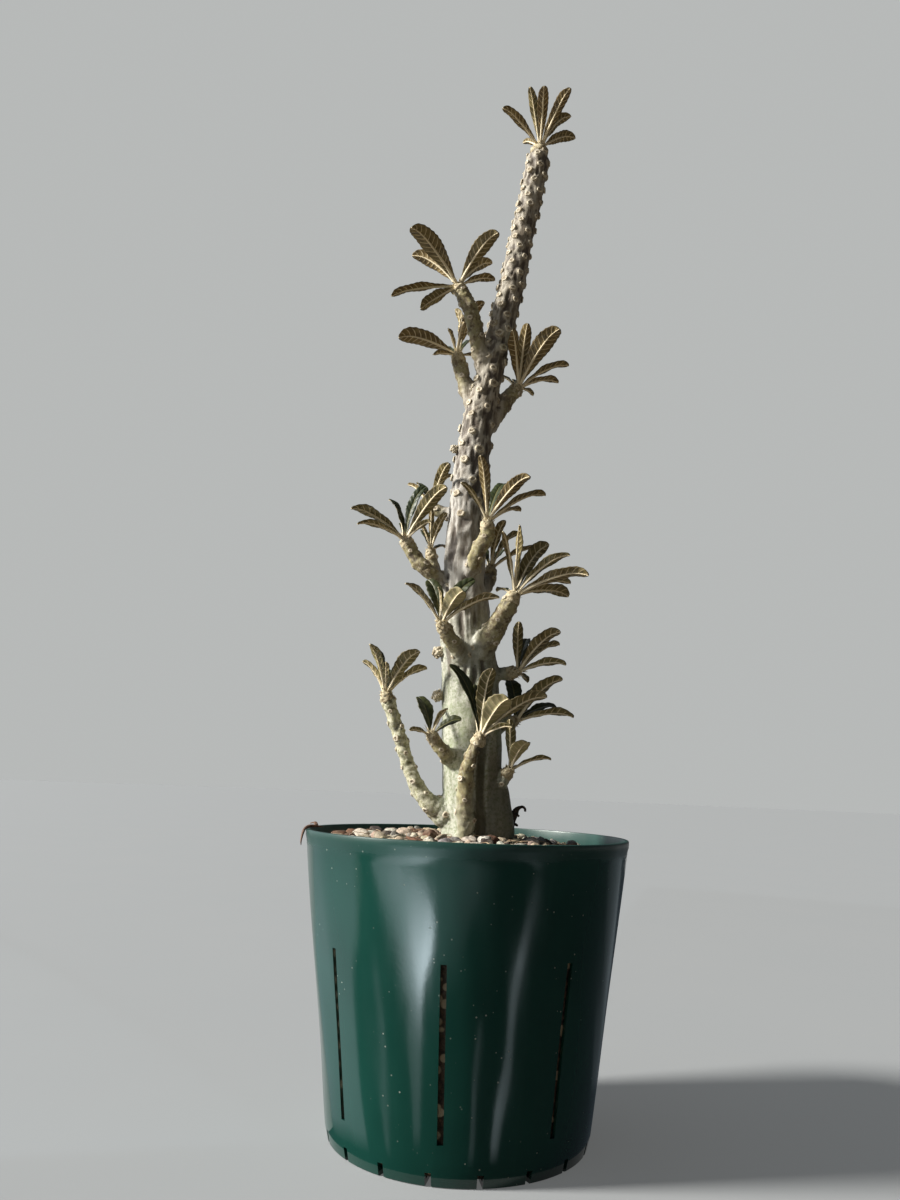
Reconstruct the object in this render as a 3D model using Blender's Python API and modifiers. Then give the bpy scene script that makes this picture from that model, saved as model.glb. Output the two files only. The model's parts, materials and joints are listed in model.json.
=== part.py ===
"""Potted dorstenia: a knobbly upright stem with leaf rosettes, in a slit nursery pot.

Metres, +Z up. The origin is the centre of the pot's underside, and the front of the
plant looks along -Y. Sizes below are in millimetres and are scaled by MM where used.
"""
import math
import random
from collections import namedtuple

import bmesh
import bpy
from mathutils import Matrix, Vector

MM = 0.001
FIT_GAP = 0.35
OBJECT_NAME = "potted_dorstenia"

# Pot
POT_HEIGHT = 103.0
RIM_RADIUS = 60.0
RIM_BAND = 3.6
RIM_STEP = 0.5
FOOT_RADIUS = 46.7
FOOT_HEIGHT = 4.3
UNDERSIDE_RADIUS = 45.4
WALL = 1.1
FLOOR = 1.6
POT_STEPS = 36
SLIT_COUNT = 8
SLIT_FIRST_BEARING = -96.0
SLIT_WIDTH = 2.0
SLIT_BOTTOM = 12.5
SLIT_TOP = 66.0
SLOT_COUNT = 18
SLOT_FIRST_BEARING = -80.5
SLOT_WIDTH = 2.0
SLOT_INNER_RADIUS = 38.0
DRAIN_COUNT = 6
DRAIN_RING = 26.0
DRAIN_RADIUS = 3.5
RIM_CHAMFER = 0.4
SLIT_OVERSHOOT = 10.0
SLOT_OVERSHOOT = 2.0

# Soil and gravel
SOIL_EDGE_HEIGHT = 97.5
SOIL_MIDDLE_HEIGHT = 100.5
SOIL_DIP = 3.0
SOIL_STEPS = 24
SOIL_RINGS = (24.0, 44.0)
STONE_RINGS = (23.5, 35.5, 48.5)
STONE_SPACING = 12.5
STONE_RADIUS = 5.3
STONE_RISE = 1.0
# Chances in the stones: share of their spacing, shift in millimetres, size, corners, stretch along
# each axis, and tilt
STONE_TURN_CHANCE = 0.15
STONE_SHIFT = 0.8
STONE_SIZES = (0.85, 1.2)
STONE_CUBE = 1.35
STONE_CORNERS = (0.8, 1.1)
STONE_STRETCH = ((0.95, 1.25), (0.8, 1.0), (0.7, 0.9))
STONE_TILT = 0.7
STONE_LEAN = 3.0
HOLE_TOP = 121.0

# Stem: x, y, z and radius of each point on its middle line
STEM = [
    (3, 1, 68, 6.0),
    (3, 1, 82, 10.0),
    (2.5, 1, 96, 11.8),
    (2, 1, 108, 11.8),
    (1.5, 0, 120, 11.6),
    (1, 0, 134, 11.6),
    (0, 0, 149, 11.3),
    (-1, 0, 165, 10.8),
    (-3, 0, 181, 9.8),
    (-4, 0, 197, 8.6),
    (-4.5, 0, 213, 7.8),
    (-4, 0, 230, 7.4),
    (-3, 0, 247, 7.3),
    (-1.5, 0, 264, 6.7),
    (1, 0, 278, 5.8),
    (4, 0, 293, 5.5),
    (8, 0, 314, 5.4),
    (12, 0, 333, 5.4),
    (15, 0, 352, 5.0),
    (18.5, 0, 371, 4.9),
    (20.5, 0, 384, 5.0),
    (21.5, 0, 391, 4.8),
    (22, 0, 394.5, 3.8),
]
STEM_SIDES_STEP = 4
BRANCH_SIDES_STEP = 2
HUB_SIDES_STEP = 1

# Swellings and stubs that grow from the stem
SIDE_LOBE = [(9, -3, 92, 7.0), (10, -3.5, 105, 7.8), (9, -3, 116, 6.8), (7, -2, 128, 5.2), (5, -1, 142, 4.0)]
FOOT_STUB = [(13, 3, 104, 3.0), (17, 2, 106, 2.0), (18, 2, 110, 1.6), (20, 2, 113, 1.3), (22, 2, 113.5, 1.0)]
KNOBS = [(-13, -2, 171, 2.2), (-12, -2, 154, 2.2), (-9.5, -2, 255, 1.7)]

# Leaf scars: raised six-sided studs in a spiral up the stem
SCAR_BOTTOM = 236.0
SCAR_TOP = 388.0
SCAR_COUNT = 42
SCAR_TURN = 137.5
SCAR_RADIUS = 1.6
SCAR_FACE = 1.0
SCAR_PROUD = 0.9
SCAR_SUNK = 1.3

# Leaves: each blade is a folded, arching strip with a waved edge
BLADE_THICKNESS = 0.7
STALK_THICKNESS = 1.2
WIDTH_SHARE = 0.118
FOLD = 0.30
ARCH = 30.0
TIP_HOOK = 22.0
HOOK_START = 0.7
HOOK_EVEN = 0.13
EDGE_WAVE = 0.45
# Leaves that hang below level arch less: none of the arch would be left at this drop in degrees
STRAIGHT_DROP = 45.0
LEAST_ARCH = 0.2
# place along the leaf, and half width as a share of the widest
LEAF_STATIONS = [(0.0, 0.22), (0.42, 0.82), (0.6, 0.8), (0.8, 1.04), (1.0, 0.42)]
HUB_LENGTH = 4.6
HUB_HEART = 2.2
ROOT_OFFSET = 1.3

Shoot = namedtuple("Shoot", "branch leaves width", defaults=(1.0,))
Leaf = namedtuple("Leaf", "bearing rise length roll width", defaults=(1.0,))

# Each shoot has its branch as (x, y, z, radius) points from inside the stem to its tip, and its
# leaves as (bearing, rise, length, roll, width): degrees from +X, degrees above level, millimetres,
# degrees that the blade is turned about its own length, and its width against the usual one.
SHOOTS = {
    "rosette_01": Shoot(
        branch=[],
        leaves=[(-135, 12, 26, -10), (-112, 42, 25, 0), (-90, 20, 28, 0), (-65, 20, 29, 10), (-20, 60, 20, 20),
                (20, 55, 27, 50, 1.1), (30, 35, 24, 45, 1.3), (75, 25, 20, 0), (105, 25, 16, 0),
                (130, 40, 15, -40, 1.2)],
        width=0.78),
    "rosette_02": Shoot(
        branch=[(3, 0, 284, 3.6), (-1, -3, 296, 3.4), (-3, -5, 305, 3.2), (-6, -7, 315, 3.2), (-10, -7, 323, 3.0)],
        leaves=[(-130, 20, 33, -20, 1.2), (170, 38, 27, -40, 1.2), (-165, -19, 30, -10, 0.9),
                (-145, -43, 25, -50, 1.2), (-55, 25, 29, 15, 1.15), (35, 45, 24, 45, 1.1), (30, 25, 20, 30),
                (100, 20, 20, 0)]),
    "rosette_03": Shoot(
        branch=[(-1, 0, 270, 3.2), (-5, 1, 279, 3.1), (-8, 2, 289, 3.1), (-10, 2, 296, 3.0)],
        leaves=[(-155, 5, 27, -35, 1.35), (-135, -20, 15, -20), (-110, 25, 14, 30, 0.8), (180, 86, 22, -45),
                (-85, 10, 22, 50, 0.6), (0, 67, 28, 50), (55, 45, 17, 0), (50, 15, 14, 0), (120, 30, 20, 0)]),
    "rosette_04": Shoot(
        branch=[(3, 1, 266, 3.8), (8, 3, 275, 3.4), (11, 4, 280, 3.2), (14, 5, 284, 3.0)],
        leaves=[(-98, 28, 29, -50), (-80, 45, 28, 10, 0.85), (-57, 30, 32, 20, 1.2), (10, 30, 26, 15),
                (25, 20, 22, 15), (60, 8, 14, 0), (90, 30, 20, 0), (140, 35, 18, 0)]),
    "rosette_05": Shoot(
        branch=[(-4, 1, 226, 2.8), (-12, 4, 229, 2.6), (-17, 5, 231, 2.4)],
        leaves=[(-68, 34, 24, 20, 0.9), (50, 55, 22, 40), (125, 50, 18, 0), (150, 45, 17, -30)]),
    "rosette_06": Shoot(
        branch=[(-4, 0, 199, 4.0), (-1, -9, 204, 3.3), (1, -15, 209, 3.0), (4, -18, 214, 2.9), (4, -19, 217, 2.8)],
        leaves=[(-125, 30, 21, -50, 0.5), (-100, 50, 27, 10, 0.75), (-55, 25, 28, 25, 0.9), (60, 55, 24, 0),
                (15, 30, 28, 15), (40, 25, 20, 10)]),
    "rosette_07": Shoot(
        branch=[(-3, 0, 193, 3.8), (-12, -2, 199, 3.2), (-19, -5, 203, 2.9), (-24, -5, 208, 2.8), (-27, -5, 213, 2.8)],
        leaves=[(-150, 20, 26, -20), (-140, 5, 23, -30, 0.7), (155, 65, 20, 10, 0.9), (20, 72, 25, -45, 0.9),
                (-40, 38, 29, 30), (-45, 15, 17, 10), (100, 35, 18, 0)]),
    "rosette_08": Shoot(
        branch=[(-8, 2, 193, 3.0), (-14, 4, 200, 2.7), (-17, 5, 206, 2.5), (-18, 4.5, 211, 2.4)],
        leaves=[(-150, 62, 12, -40, 0.7), (-95, 72, 18, 0, 0.6), (-40, 62, 17, 20, 1.1), (110, 40, 18, 0),
                (80, 55, 17, 0), (60, 20, 13, 0)]),
    "rosette_09": Shoot(
        branch=[(-2, 2, 191, 3.6), (3, 5, 197, 3.0), (6, 8, 203, 2.6), (6, 9, 206, 2.5)],
        leaves=[(-60, 62, 21, 0), (30, 52, 22, 45), (15, 25, 24, 15), (65, 35, 20, 0), (115, 45, 20, 0)]),
    "rosette_10": Shoot(
        branch=[(0, 0, 166, 6.0), (4, -8, 173, 5.0), (8, -12, 179, 4.2), (11.5, -14, 185.5, 3.5), (14, -15, 190, 3.1)],
        leaves=[(-112, 50, 27, -60, 0.5), (-85, 58, 28, 60, 0.7), (10, 58, 25, 60, 1.3), (-35, 30, 27, 20, 0.85),
                (-20, 12, 30, 25), (15, 16, 24, 15), (32, 6, 26, 25, 1.2), (65, 50, 20, 0, 0.9), (118, 15, 15, 0)]),
    "rosette_11": Shoot(
        branch=[(-2, -2, 162, 4.4), (-5, -10, 170, 3.4), (-9, -14, 175, 2.9), (-11, -16, 178, 2.7)],
        leaves=[(-150, 40, 21, -20, 0.8), (140, 65, 20, 35, 1.4), (-120, 78, 14, 40, 0.7),
                (10, 55, 22, -65, 1.2), (-22, 22, 25, 20, 0.9), (-50, 40, 17, 25, 2.0)]),
    "rosette_12": Shoot(
        branch=[(4, 0, 164, 3.0), (10, 0, 163.5, 2.7), (15, -2, 164, 2.5)],
        leaves=[(-30, 40, 24, 20, 1.4), (22, 34, 23, 30), (65, 50, 20, 0), (-20, 8, 20, 30, 1.2), (-90, 80, 20, 0),
                (70, -10, 14, 0)]),
    "rosette_13": Shoot(
        branch=[(0, 0, 105, 7.0), (-9, -2, 110, 5.2), (-15, -4, 114, 3.4), (-19, -4, 119, 2.9),
                (-22.5, -4, 126, 2.6), (-25, -4, 133, 2.4), (-27.5, -4.5, 140, 2.6), (-29.5, -5, 145, 2.4),
                (-32, -5, 151.5, 2.8)],
        leaves=[(-130, 60, 21, 0), (175, 52, 16, -40), (145, 70, 20, 0, 0.8), (-85, 65, 13, 40),
                (-25, 48, 22, 30, 1.45), (20, 34, 20, 30, 1.2), (85, 45, 15, 0)]),
    "rosette_14": Shoot(
        branch=[(6, 0, 142, 3.4), (12, 1, 144, 2.9), (15, 1, 145, 2.6)],
        leaves=[(-8, 5, 23, 25, 1.2), (20, 20, 19, -25, 1.3), (-18, 42, 25, 30, 1.45), (38, 45, 20, -20, 1.2),
                (115, 70, 18, 0, 1.8), (75, 15, 18, 0)]),
    "rosette_15": Shoot(
        branch=[(-0.5, -9, 98, 3.6), (-0.5, -11, 108, 3.6), (-1, -13, 116, 3.2), (-1, -15, 122, 2.9),
                (0, -17, 128, 2.8), (2, -18, 133, 2.7), (3, -18.5, 136, 2.6)],
        leaves=[(-168, 64, 29, 60, 0.8), (112, 76, 20, 0, 1.5), (-65, 71, 26, 0, 1.2), (-48, 42, 20, 25, 2.1),
                (-10, 32, 29, 35, 1.2), (-30, 14, 14, 20, 1.2)]),
    "rosette_16": Shoot(
        branch=[(-2, -4, 127, 3.8), (-8, -10, 131, 3.0), (-11, -12, 134, 2.6), (-13, -13, 136.5, 2.3)],
        leaves=[(130, 60, 17, 10, 1.7), (-42, 48, 13, 0, 1.1), (-5, 28, 13, -45, 1.6), (-150, 8, 9, -40, 1.3)]),
    "rosette_17": Shoot(
        branch=[(7, -3, 115, 4.4), (11, -5, 120, 2.8), (14, -7, 125, 2.3)],
        leaves=[(-60, 42, 15, 10, 2.1), (12, 15, 17, 40, 0.8), (-100, 82, 19, 0)]),
}


def material(name, colour, roughness):
    """A plain Principled material."""
    made = bpy.data.materials.new(name)
    made.use_nodes = True
    shader = made.node_tree.nodes["Principled BSDF"]
    shader.inputs["Base Color"].default_value = (*colour, 1.0)
    shader.inputs["Roughness"].default_value = roughness
    return made


def mesh_object(name, mesh, collection):
    """A new object for a mesh."""
    thing = bpy.data.objects.new(name, mesh)
    collection.objects.link(thing)
    return thing


def weld(mesh, distance):
    """Merge doubled points and point every face outwards."""
    work = bmesh.new()
    work.from_mesh(mesh)
    bmesh.ops.remove_doubles(work, verts=work.verts, dist=distance)
    bmesh.ops.recalc_face_normals(work, faces=work.faces)
    work.to_mesh(mesh)
    work.free()


def limb(name, points, collection, sides_step, extra=0.0):
    """A round tapering limb: a bevelled curve through (x, y, z, radius) points, as a mesh."""
    curve = bpy.data.curves.new(name, "CURVE")
    curve.dimensions = "3D"
    curve.bevel_depth = MM
    curve.bevel_resolution = sides_step
    curve.use_fill_caps = True
    spline = curve.splines.new("POLY")
    spline.points.add(len(points) - 1)
    for target, (x, y, z, radius) in zip(spline.points, points):
        target.co = (x * MM, y * MM, z * MM, 1.0)
        target.radius = radius + extra
    guide = mesh_object(name + "_guide", curve, collection)
    evaluated = guide.evaluated_get(bpy.context.evaluated_depsgraph_get())
    mesh = bpy.data.meshes.new_from_object(evaluated)
    made = mesh_object(name, mesh, collection)
    made.matrix_world = guide.matrix_world.copy()
    bpy.data.objects.remove(guide)
    weld(mesh, 0.00001)
    return made


def boolean(target, operation, operand):
    """Apply one Boolean of an object or a collection, and remove what was used."""
    step = target.modifiers.new("boolean", "BOOLEAN")
    step.operation = operation
    step.solver = "EXACT"
    step.operand_type = "COLLECTION"
    step.collection = operand
    evaluated = target.evaluated_get(bpy.context.evaluated_depsgraph_get())
    mesh = bpy.data.meshes.new_from_object(evaluated)
    target.modifiers.clear()
    target.data = mesh
    for used in list(operand.objects):
        bpy.data.objects.remove(used)
    weld(mesh, 0.000002)


def turned(name, profile, steps, collection):
    """A solid turned about Z from (radius, z) points that run down the outside."""
    mesh = bpy.data.meshes.new(name)
    points = [(radius * MM, 0.0, z * MM) for radius, z in profile]
    edges = [(i, i + 1) for i in range(len(points) - 1)]
    mesh.from_pydata(points, edges, [])
    made = mesh_object(name, mesh, collection)
    screw = made.modifiers.new("turn", "SCREW")
    screw.steps = steps
    screw.render_steps = steps
    screw.use_merge_vertices = True
    screw.merge_threshold = 0.00001
    return made


def cutter_box(name, size, place, bearing, collection):
    """A box cutter standing at a place on a bearing from the pot's axis."""
    mesh = bpy.data.meshes.new(name)
    work = bmesh.new()
    bmesh.ops.create_cube(work, size=1.0)
    bmesh.ops.scale(work, vec=Vector(size) * MM, verts=work.verts)
    bmesh.ops.translate(work, vec=Vector(place) * MM, verts=work.verts)
    bmesh.ops.rotate(work, cent=(0, 0, 0), matrix=Matrix.Rotation(math.radians(bearing), 3, "Z"), verts=work.verts)
    work.to_mesh(mesh)
    work.free()
    return mesh_object(name, mesh, collection)


def wall_radius(z):
    """The pot's outer radius at a height, below its rim band."""
    climb = (z - FOOT_HEIGHT) / (POT_HEIGHT - RIM_BAND - FOOT_HEIGHT)
    return FOOT_RADIUS + (RIM_RADIUS - RIM_STEP - FOOT_RADIUS) * climb


def make_pot(collection, cutters):
    """The slit pot: a turned shell with a rim band, wall slits, edge slots and drain holes."""
    band_foot = POT_HEIGHT - RIM_BAND
    inner_rim = RIM_RADIUS - RIM_STEP - WALL
    profile = [
        (0.0, FLOOR),
        (UNDERSIDE_RADIUS - WALL, FLOOR),
        (FOOT_RADIUS - WALL, FOOT_HEIGHT),
        (inner_rim, band_foot),
        (inner_rim, POT_HEIGHT),
        (RIM_RADIUS, POT_HEIGHT),
        (RIM_RADIUS, band_foot + RIM_CHAMFER),
        (RIM_RADIUS - RIM_STEP, band_foot),
        (FOOT_RADIUS, FOOT_HEIGHT),
        (UNDERSIDE_RADIUS, 0.0),
        (0.0, 0.0),
    ]
    pot = turned("pot", profile, POT_STEPS, collection)
    for index in range(SLIT_COUNT):
        bearing = SLIT_FIRST_BEARING + index * 360.0 / SLIT_COUNT
        reach = RIM_RADIUS - FOOT_RADIUS + SLIT_OVERSHOOT
        size = (reach, SLIT_WIDTH, SLIT_TOP - SLIT_BOTTOM)
        place = ((RIM_RADIUS + FOOT_RADIUS) / 2, 0.0, (SLIT_TOP + SLIT_BOTTOM) / 2)
        cutter_box(f"slit_{index}", size, place, bearing, cutters)
    for index in range(SLOT_COUNT):
        bearing = SLOT_FIRST_BEARING + index * 360.0 / SLOT_COUNT
        reach = FOOT_RADIUS + SLOT_OVERSHOOT - SLOT_INNER_RADIUS
        size = (reach, SLOT_WIDTH, 2 * FOOT_HEIGHT)
        place = (SLOT_INNER_RADIUS + reach / 2, 0.0, 0.0)
        cutter_box(f"slot_{index}", size, place, bearing, cutters)
    for index in range(DRAIN_COUNT):
        angle = math.radians(index * 360.0 / DRAIN_COUNT)
        mesh = bpy.data.meshes.new(f"drain_{index}")
        work = bmesh.new()
        bmesh.ops.create_cone(work, cap_ends=True, segments=12, radius1=DRAIN_RADIUS * MM,
                              radius2=DRAIN_RADIUS * MM, depth=4 * FLOOR * MM)
        spot = Vector((DRAIN_RING * math.cos(angle), DRAIN_RING * math.sin(angle), 0.0)) * MM
        bmesh.ops.translate(work, vec=spot, verts=work.verts)
        work.to_mesh(mesh)
        work.free()
        mesh_object(f"drain_{index}", mesh, cutters)
    boolean(pot, "DIFFERENCE", cutters)
    pot.data.materials.append(material("pot_plastic", (0.010, 0.075, 0.050), 0.35))
    return pot


def soil_height(radius, x):
    """Height of the soil under the gravel: mounded in the middle, dipping at the right."""
    inner = RIM_RADIUS - 2.0
    share = min(1.0, radius / inner)
    mound = SOIL_MIDDLE_HEIGHT + (SOIL_EDGE_HEIGHT - SOIL_MIDDLE_HEIGHT) * share * share
    return mound - SOIL_DIP * max(0.0, x / inner)


def cut_hole(points, cutters):
    """A plain hole for one buried limb, a fit gap larger than it all round."""
    x, y, z, radius = points[0]
    buried = [(x, y, z - FIT_GAP, radius)] + [point for point in points[1:] if point[2] < HOLE_TOP]
    limb("hole", buried, cutters, STEM_SIDES_STEP, FIT_GAP)


def make_soil(collection, cutters):
    """The filling: a turned plug that clears the wall, with gravel fused to its top."""
    side_gap = WALL + FIT_GAP
    top_radius = wall_radius(SOIL_EDGE_HEIGHT - SOIL_DIP) - side_gap
    profile = [
        (0.0, SOIL_MIDDLE_HEIGHT),
        *((radius, soil_height(radius, 0.0)) for radius in SOIL_RINGS),
        (top_radius, SOIL_EDGE_HEIGHT),
        (wall_radius(FOOT_HEIGHT) - side_gap, FOOT_HEIGHT),
        (UNDERSIDE_RADIUS - side_gap, FLOOR + FIT_GAP),
        (0.0, FLOOR + FIT_GAP),
    ]
    soil = turned("soil", profile, SOIL_STEPS, collection)
    evaluated = soil.evaluated_get(bpy.context.evaluated_depsgraph_get())
    mesh = bpy.data.meshes.new_from_object(evaluated)
    soil.modifiers.clear()
    soil.data = mesh
    middle_height = SOIL_MIDDLE_HEIGHT / 2
    for vertex in mesh.vertices:
        if vertex.co.z > middle_height * MM:
            radius = math.hypot(vertex.co.x, vertex.co.y) / MM
            vertex.co.z = soil_height(radius, vertex.co.x / MM) * MM
    weld(mesh, 0.00001)

    draw = random.Random(11)
    stones = bpy.data.collections.new("stones")
    bpy.context.scene.collection.children.link(stones)
    for ring, ring_radius in enumerate(STONE_RINGS):
        count = int(2 * math.pi * ring_radius / STONE_SPACING)
        for index in range(count):
            angle = 2 * math.pi * (index + 0.5 * (ring % 2) + draw.uniform(-STONE_TURN_CHANCE, STONE_TURN_CHANCE)) / count
            radius = ring_radius + draw.uniform(-STONE_SHIFT, STONE_SHIFT)
            x = radius * math.cos(angle) + STONE_LEAN * (1.0 - ring_radius / RIM_RADIUS)
            y = radius * math.sin(angle)
            z = soil_height(radius, x) + STONE_RISE + draw.uniform(-STONE_SHIFT, STONE_SHIFT)
            size = STONE_RADIUS * draw.uniform(*STONE_SIZES)
            mesh = bpy.data.meshes.new("stone")
            work = bmesh.new()
            bmesh.ops.create_cube(work, size=STONE_CUBE * size * MM)
            for corner in work.verts:
                corner.co *= draw.uniform(*STONE_CORNERS)
            bmesh.ops.scale(work, vec=[draw.uniform(*chance) for chance in STONE_STRETCH], verts=work.verts)
            turn = Matrix.Rotation(draw.uniform(0, 2 * math.pi), 3, "Z")
            turn = turn @ Matrix.Rotation(draw.uniform(-STONE_TILT, STONE_TILT), 3, "X")
            bmesh.ops.rotate(work, cent=(0, 0, 0), matrix=turn, verts=work.verts)
            bmesh.ops.translate(work, vec=Vector((x, y, z)) * MM, verts=work.verts)
            work.to_mesh(mesh)
            work.free()
            mesh_object("stone", mesh, stones)
    boolean(soil, "UNION", stones)
    bpy.data.collections.remove(stones)
    for points in (STEM, SIDE_LOBE, SHOOTS["rosette_15"].branch):
        cut_hole(points, cutters)
    boolean(soil, "DIFFERENCE", cutters)
    soil.data.materials.append(material("gravel", (0.42, 0.33, 0.26), 0.9))
    return soil


def along(points, height):
    """The stem's middle line, direction and radius at a height."""
    for (x0, y0, z0, r0), (x1, y1, z1, r1) in zip(points, points[1:]):
        if z0 <= height <= z1:
            share = (height - z0) / (z1 - z0)
            place = Vector((x0, y0, z0)).lerp(Vector((x1, y1, z1)), share)
            direction = (Vector((x1, y1, z1)) - Vector((x0, y0, z0))).normalized()
            return place, direction, r0 + (r1 - r0) * share
    raise ValueError("height is off the stem")


def make_scar(place, outward, collection):
    """One leaf scar: a six-sided stud that narrows to its face."""
    mesh = bpy.data.meshes.new("scar")
    work = bmesh.new()
    depth = SCAR_PROUD + SCAR_SUNK
    bmesh.ops.create_cone(work, cap_ends=True, segments=6, radius1=SCAR_RADIUS * MM,
                          radius2=SCAR_FACE * MM, depth=depth * MM)
    turn = outward.to_track_quat("Z", "Y").to_matrix()
    middle = place + outward * (SCAR_PROUD - SCAR_SUNK) / 2
    bmesh.ops.rotate(work, cent=(0, 0, 0), matrix=turn, verts=work.verts)
    bmesh.ops.translate(work, vec=middle * MM, verts=work.verts)
    work.to_mesh(mesh)
    work.free()
    mesh_object("scar", mesh, collection)


def make_knob(spot, collection):
    """A dormant bud on the stem."""
    x, y, z, radius = spot
    mesh = bpy.data.meshes.new("knob")
    work = bmesh.new()
    bmesh.ops.create_icosphere(work, subdivisions=1, radius=radius * MM)
    bmesh.ops.translate(work, vec=Vector((x, y, z)) * MM, verts=work.verts)
    work.to_mesh(mesh)
    work.free()
    mesh_object("knob", mesh, collection)


def make_stem(collection):
    """The stem with its branches, side lobe, stubs, buds and leaf scars, joined in one solid."""
    stem = limb("stem", STEM, collection, STEM_SIDES_STEP)
    growth = bpy.data.collections.new("growth")
    bpy.context.scene.collection.children.link(growth)
    limb("side_lobe", SIDE_LOBE, growth, BRANCH_SIDES_STEP + 1)
    limb("foot_stub", FOOT_STUB, growth, BRANCH_SIDES_STEP)
    for name, shoot in SHOOTS.items():
        if shoot.branch:
            limb("branch_" + name, shoot.branch, growth, BRANCH_SIDES_STEP)
    for spot in KNOBS:
        make_knob(spot, growth)
    for index in range(SCAR_COUNT):
        height = SCAR_BOTTOM + (SCAR_TOP - SCAR_BOTTOM) * index / (SCAR_COUNT - 1)
        place, direction, radius = along(STEM, height)
        angle = math.radians(index * SCAR_TURN)
        outward = Vector((math.cos(angle), math.sin(angle), 0.0))
        outward = (outward - direction * outward.dot(direction)).normalized()
        make_scar(place + outward * radius, outward, growth)
    boolean(stem, "UNION", growth)
    bpy.data.collections.remove(growth)
    stem.data.materials.append(material("bark", (0.36, 0.36, 0.31), 0.7))
    return stem


def leaf_mesh(heart, leaf):
    """One blade: a folded strip along an arching midrib, with the same triangles on both faces."""
    bearing, rise, roll = (math.radians(angle) for angle in (leaf.bearing, leaf.rise, leaf.roll))
    droop = max(LEAST_ARCH, 1.0 + min(0.0, leaf.rise) / STRAIGHT_DROP)
    across = Vector((-math.sin(bearing), math.cos(bearing), 0.0))
    forward = Vector((math.cos(bearing), math.sin(bearing), 0.0))
    half_width = WIDTH_SHARE * leaf.length * leaf.width
    place = heart + (forward * math.cos(rise) + Vector((0, 0, math.sin(rise)))) * ROOT_OFFSET
    length = leaf.length - ROOT_OFFSET
    rows = []
    previous = 0.0
    for index, (share, width_share) in enumerate(LEAF_STATIONS):
        middle = (share + previous) / 2
        slope = rise + droop * math.radians(ARCH) * (0.5 - middle)
        slope += droop * math.radians(TIP_HOOK) * (HOOK_EVEN - max(0.0, middle - HOOK_START) / (1 - HOOK_START))
        step = forward * math.cos(slope) + Vector((0, 0, math.sin(slope)))
        place = place + step * length * (share - previous)
        previous = share
        upward = step.cross(across)
        normal = upward * math.cos(roll) + across * math.sin(roll)
        side = across * math.cos(roll) - upward * math.sin(roll)
        width = half_width * width_share
        thickness = STALK_THICKNESS if index == 0 else BLADE_THICKNESS
        wave = EDGE_WAVE * (-1) ** index if index > 0 else 0.0
        lift = normal * (FOLD * width + wave)
        rows.append([
            place + side * width + lift + normal * thickness / 2,
            place + normal * thickness / 2,
            place - side * width + lift + normal * thickness / 2,
            place - side * width + lift - normal * thickness / 2,
            place - normal * thickness / 2,
            place + side * width + lift - normal * thickness / 2,
        ])
    mesh = bpy.data.meshes.new("leaf")
    points = [corner * MM for row in rows for corner in row]
    faces = []
    # corners of a row: 0 and 2 upper edges, 1 upper rib, 5 and 3 lower edges, 4 lower rib
    for index in range(len(rows) - 1):
        near = 6 * index
        far = near + 6
        for rib, edge in ((1, 0), (1, 2), (4, 3), (4, 5)):
            faces.append((near + rib, far + rib, far + edge))
            faces.append((near + rib, far + edge, near + edge))
        for upper, lower in ((0, 5), (2, 3)):
            faces.append((near + upper, far + upper, far + lower))
            faces.append((near + upper, far + lower, near + lower))
    for start in (0, 6 * (len(rows) - 1)):
        faces.append((start, start + 1, start + 4, start + 5))
        faces.append((start + 1, start + 2, start + 3, start + 4))
    mesh.from_pydata(points, [], faces)
    weld(mesh, 0.000001)
    return mesh


def make_rosette(name, shoot, green, collection):
    """A crown of stipules at a branch tip, with its leaves rooted in it."""
    path = shoot.branch if shoot.branch else STEM
    before = Vector(path[-2][:3])
    tip = Vector(path[-1][:3])
    tip_radius = path[-1][3]
    direction = (tip - before).normalized()
    foot = tip + direction * FIT_GAP
    hub_points = [
        (*foot, tip_radius * 0.95),
        (*(foot + direction * HUB_LENGTH * 0.45), tip_radius * 1.0),
        (*(foot + direction * HUB_LENGTH), tip_radius * 0.55),
    ]
    hub = limb(name, hub_points, collection, HUB_SIDES_STEP)
    blades = bpy.data.collections.new("blades")
    bpy.context.scene.collection.children.link(blades)
    heart = foot + direction * HUB_HEART
    for values in shoot.leaves:
        leaf = Leaf(*values)
        mesh_object("leaf", leaf_mesh(heart, leaf._replace(width=leaf.width * shoot.width)), blades)
    boolean(hub, "UNION", blades)
    bpy.data.collections.remove(blades)
    hub.data.materials.append(green)
    return hub


def main():
    """Clear the scene and make every piece."""
    for old in list(bpy.data.objects):
        bpy.data.objects.remove(old)
    parts = bpy.data.collections.new(OBJECT_NAME)
    cutters = bpy.data.collections.new("cutters")
    bpy.context.scene.collection.children.link(parts)
    bpy.context.scene.collection.children.link(cutters)
    make_pot(parts, cutters)
    make_soil(parts, cutters)
    make_stem(parts)
    for name, shoot in SHOOTS.items():
        green = material(name + "_leaf", (0.11, 0.12, 0.045), 0.5)
        make_rosette(name, shoot, green, parts)


main()
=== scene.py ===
import json
import math
import random
from collections import namedtuple

import bmesh
import bpy
import numpy as np
from mathutils import Matrix, Vector, noise
from mathutils.kdtree import KDTree

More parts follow.
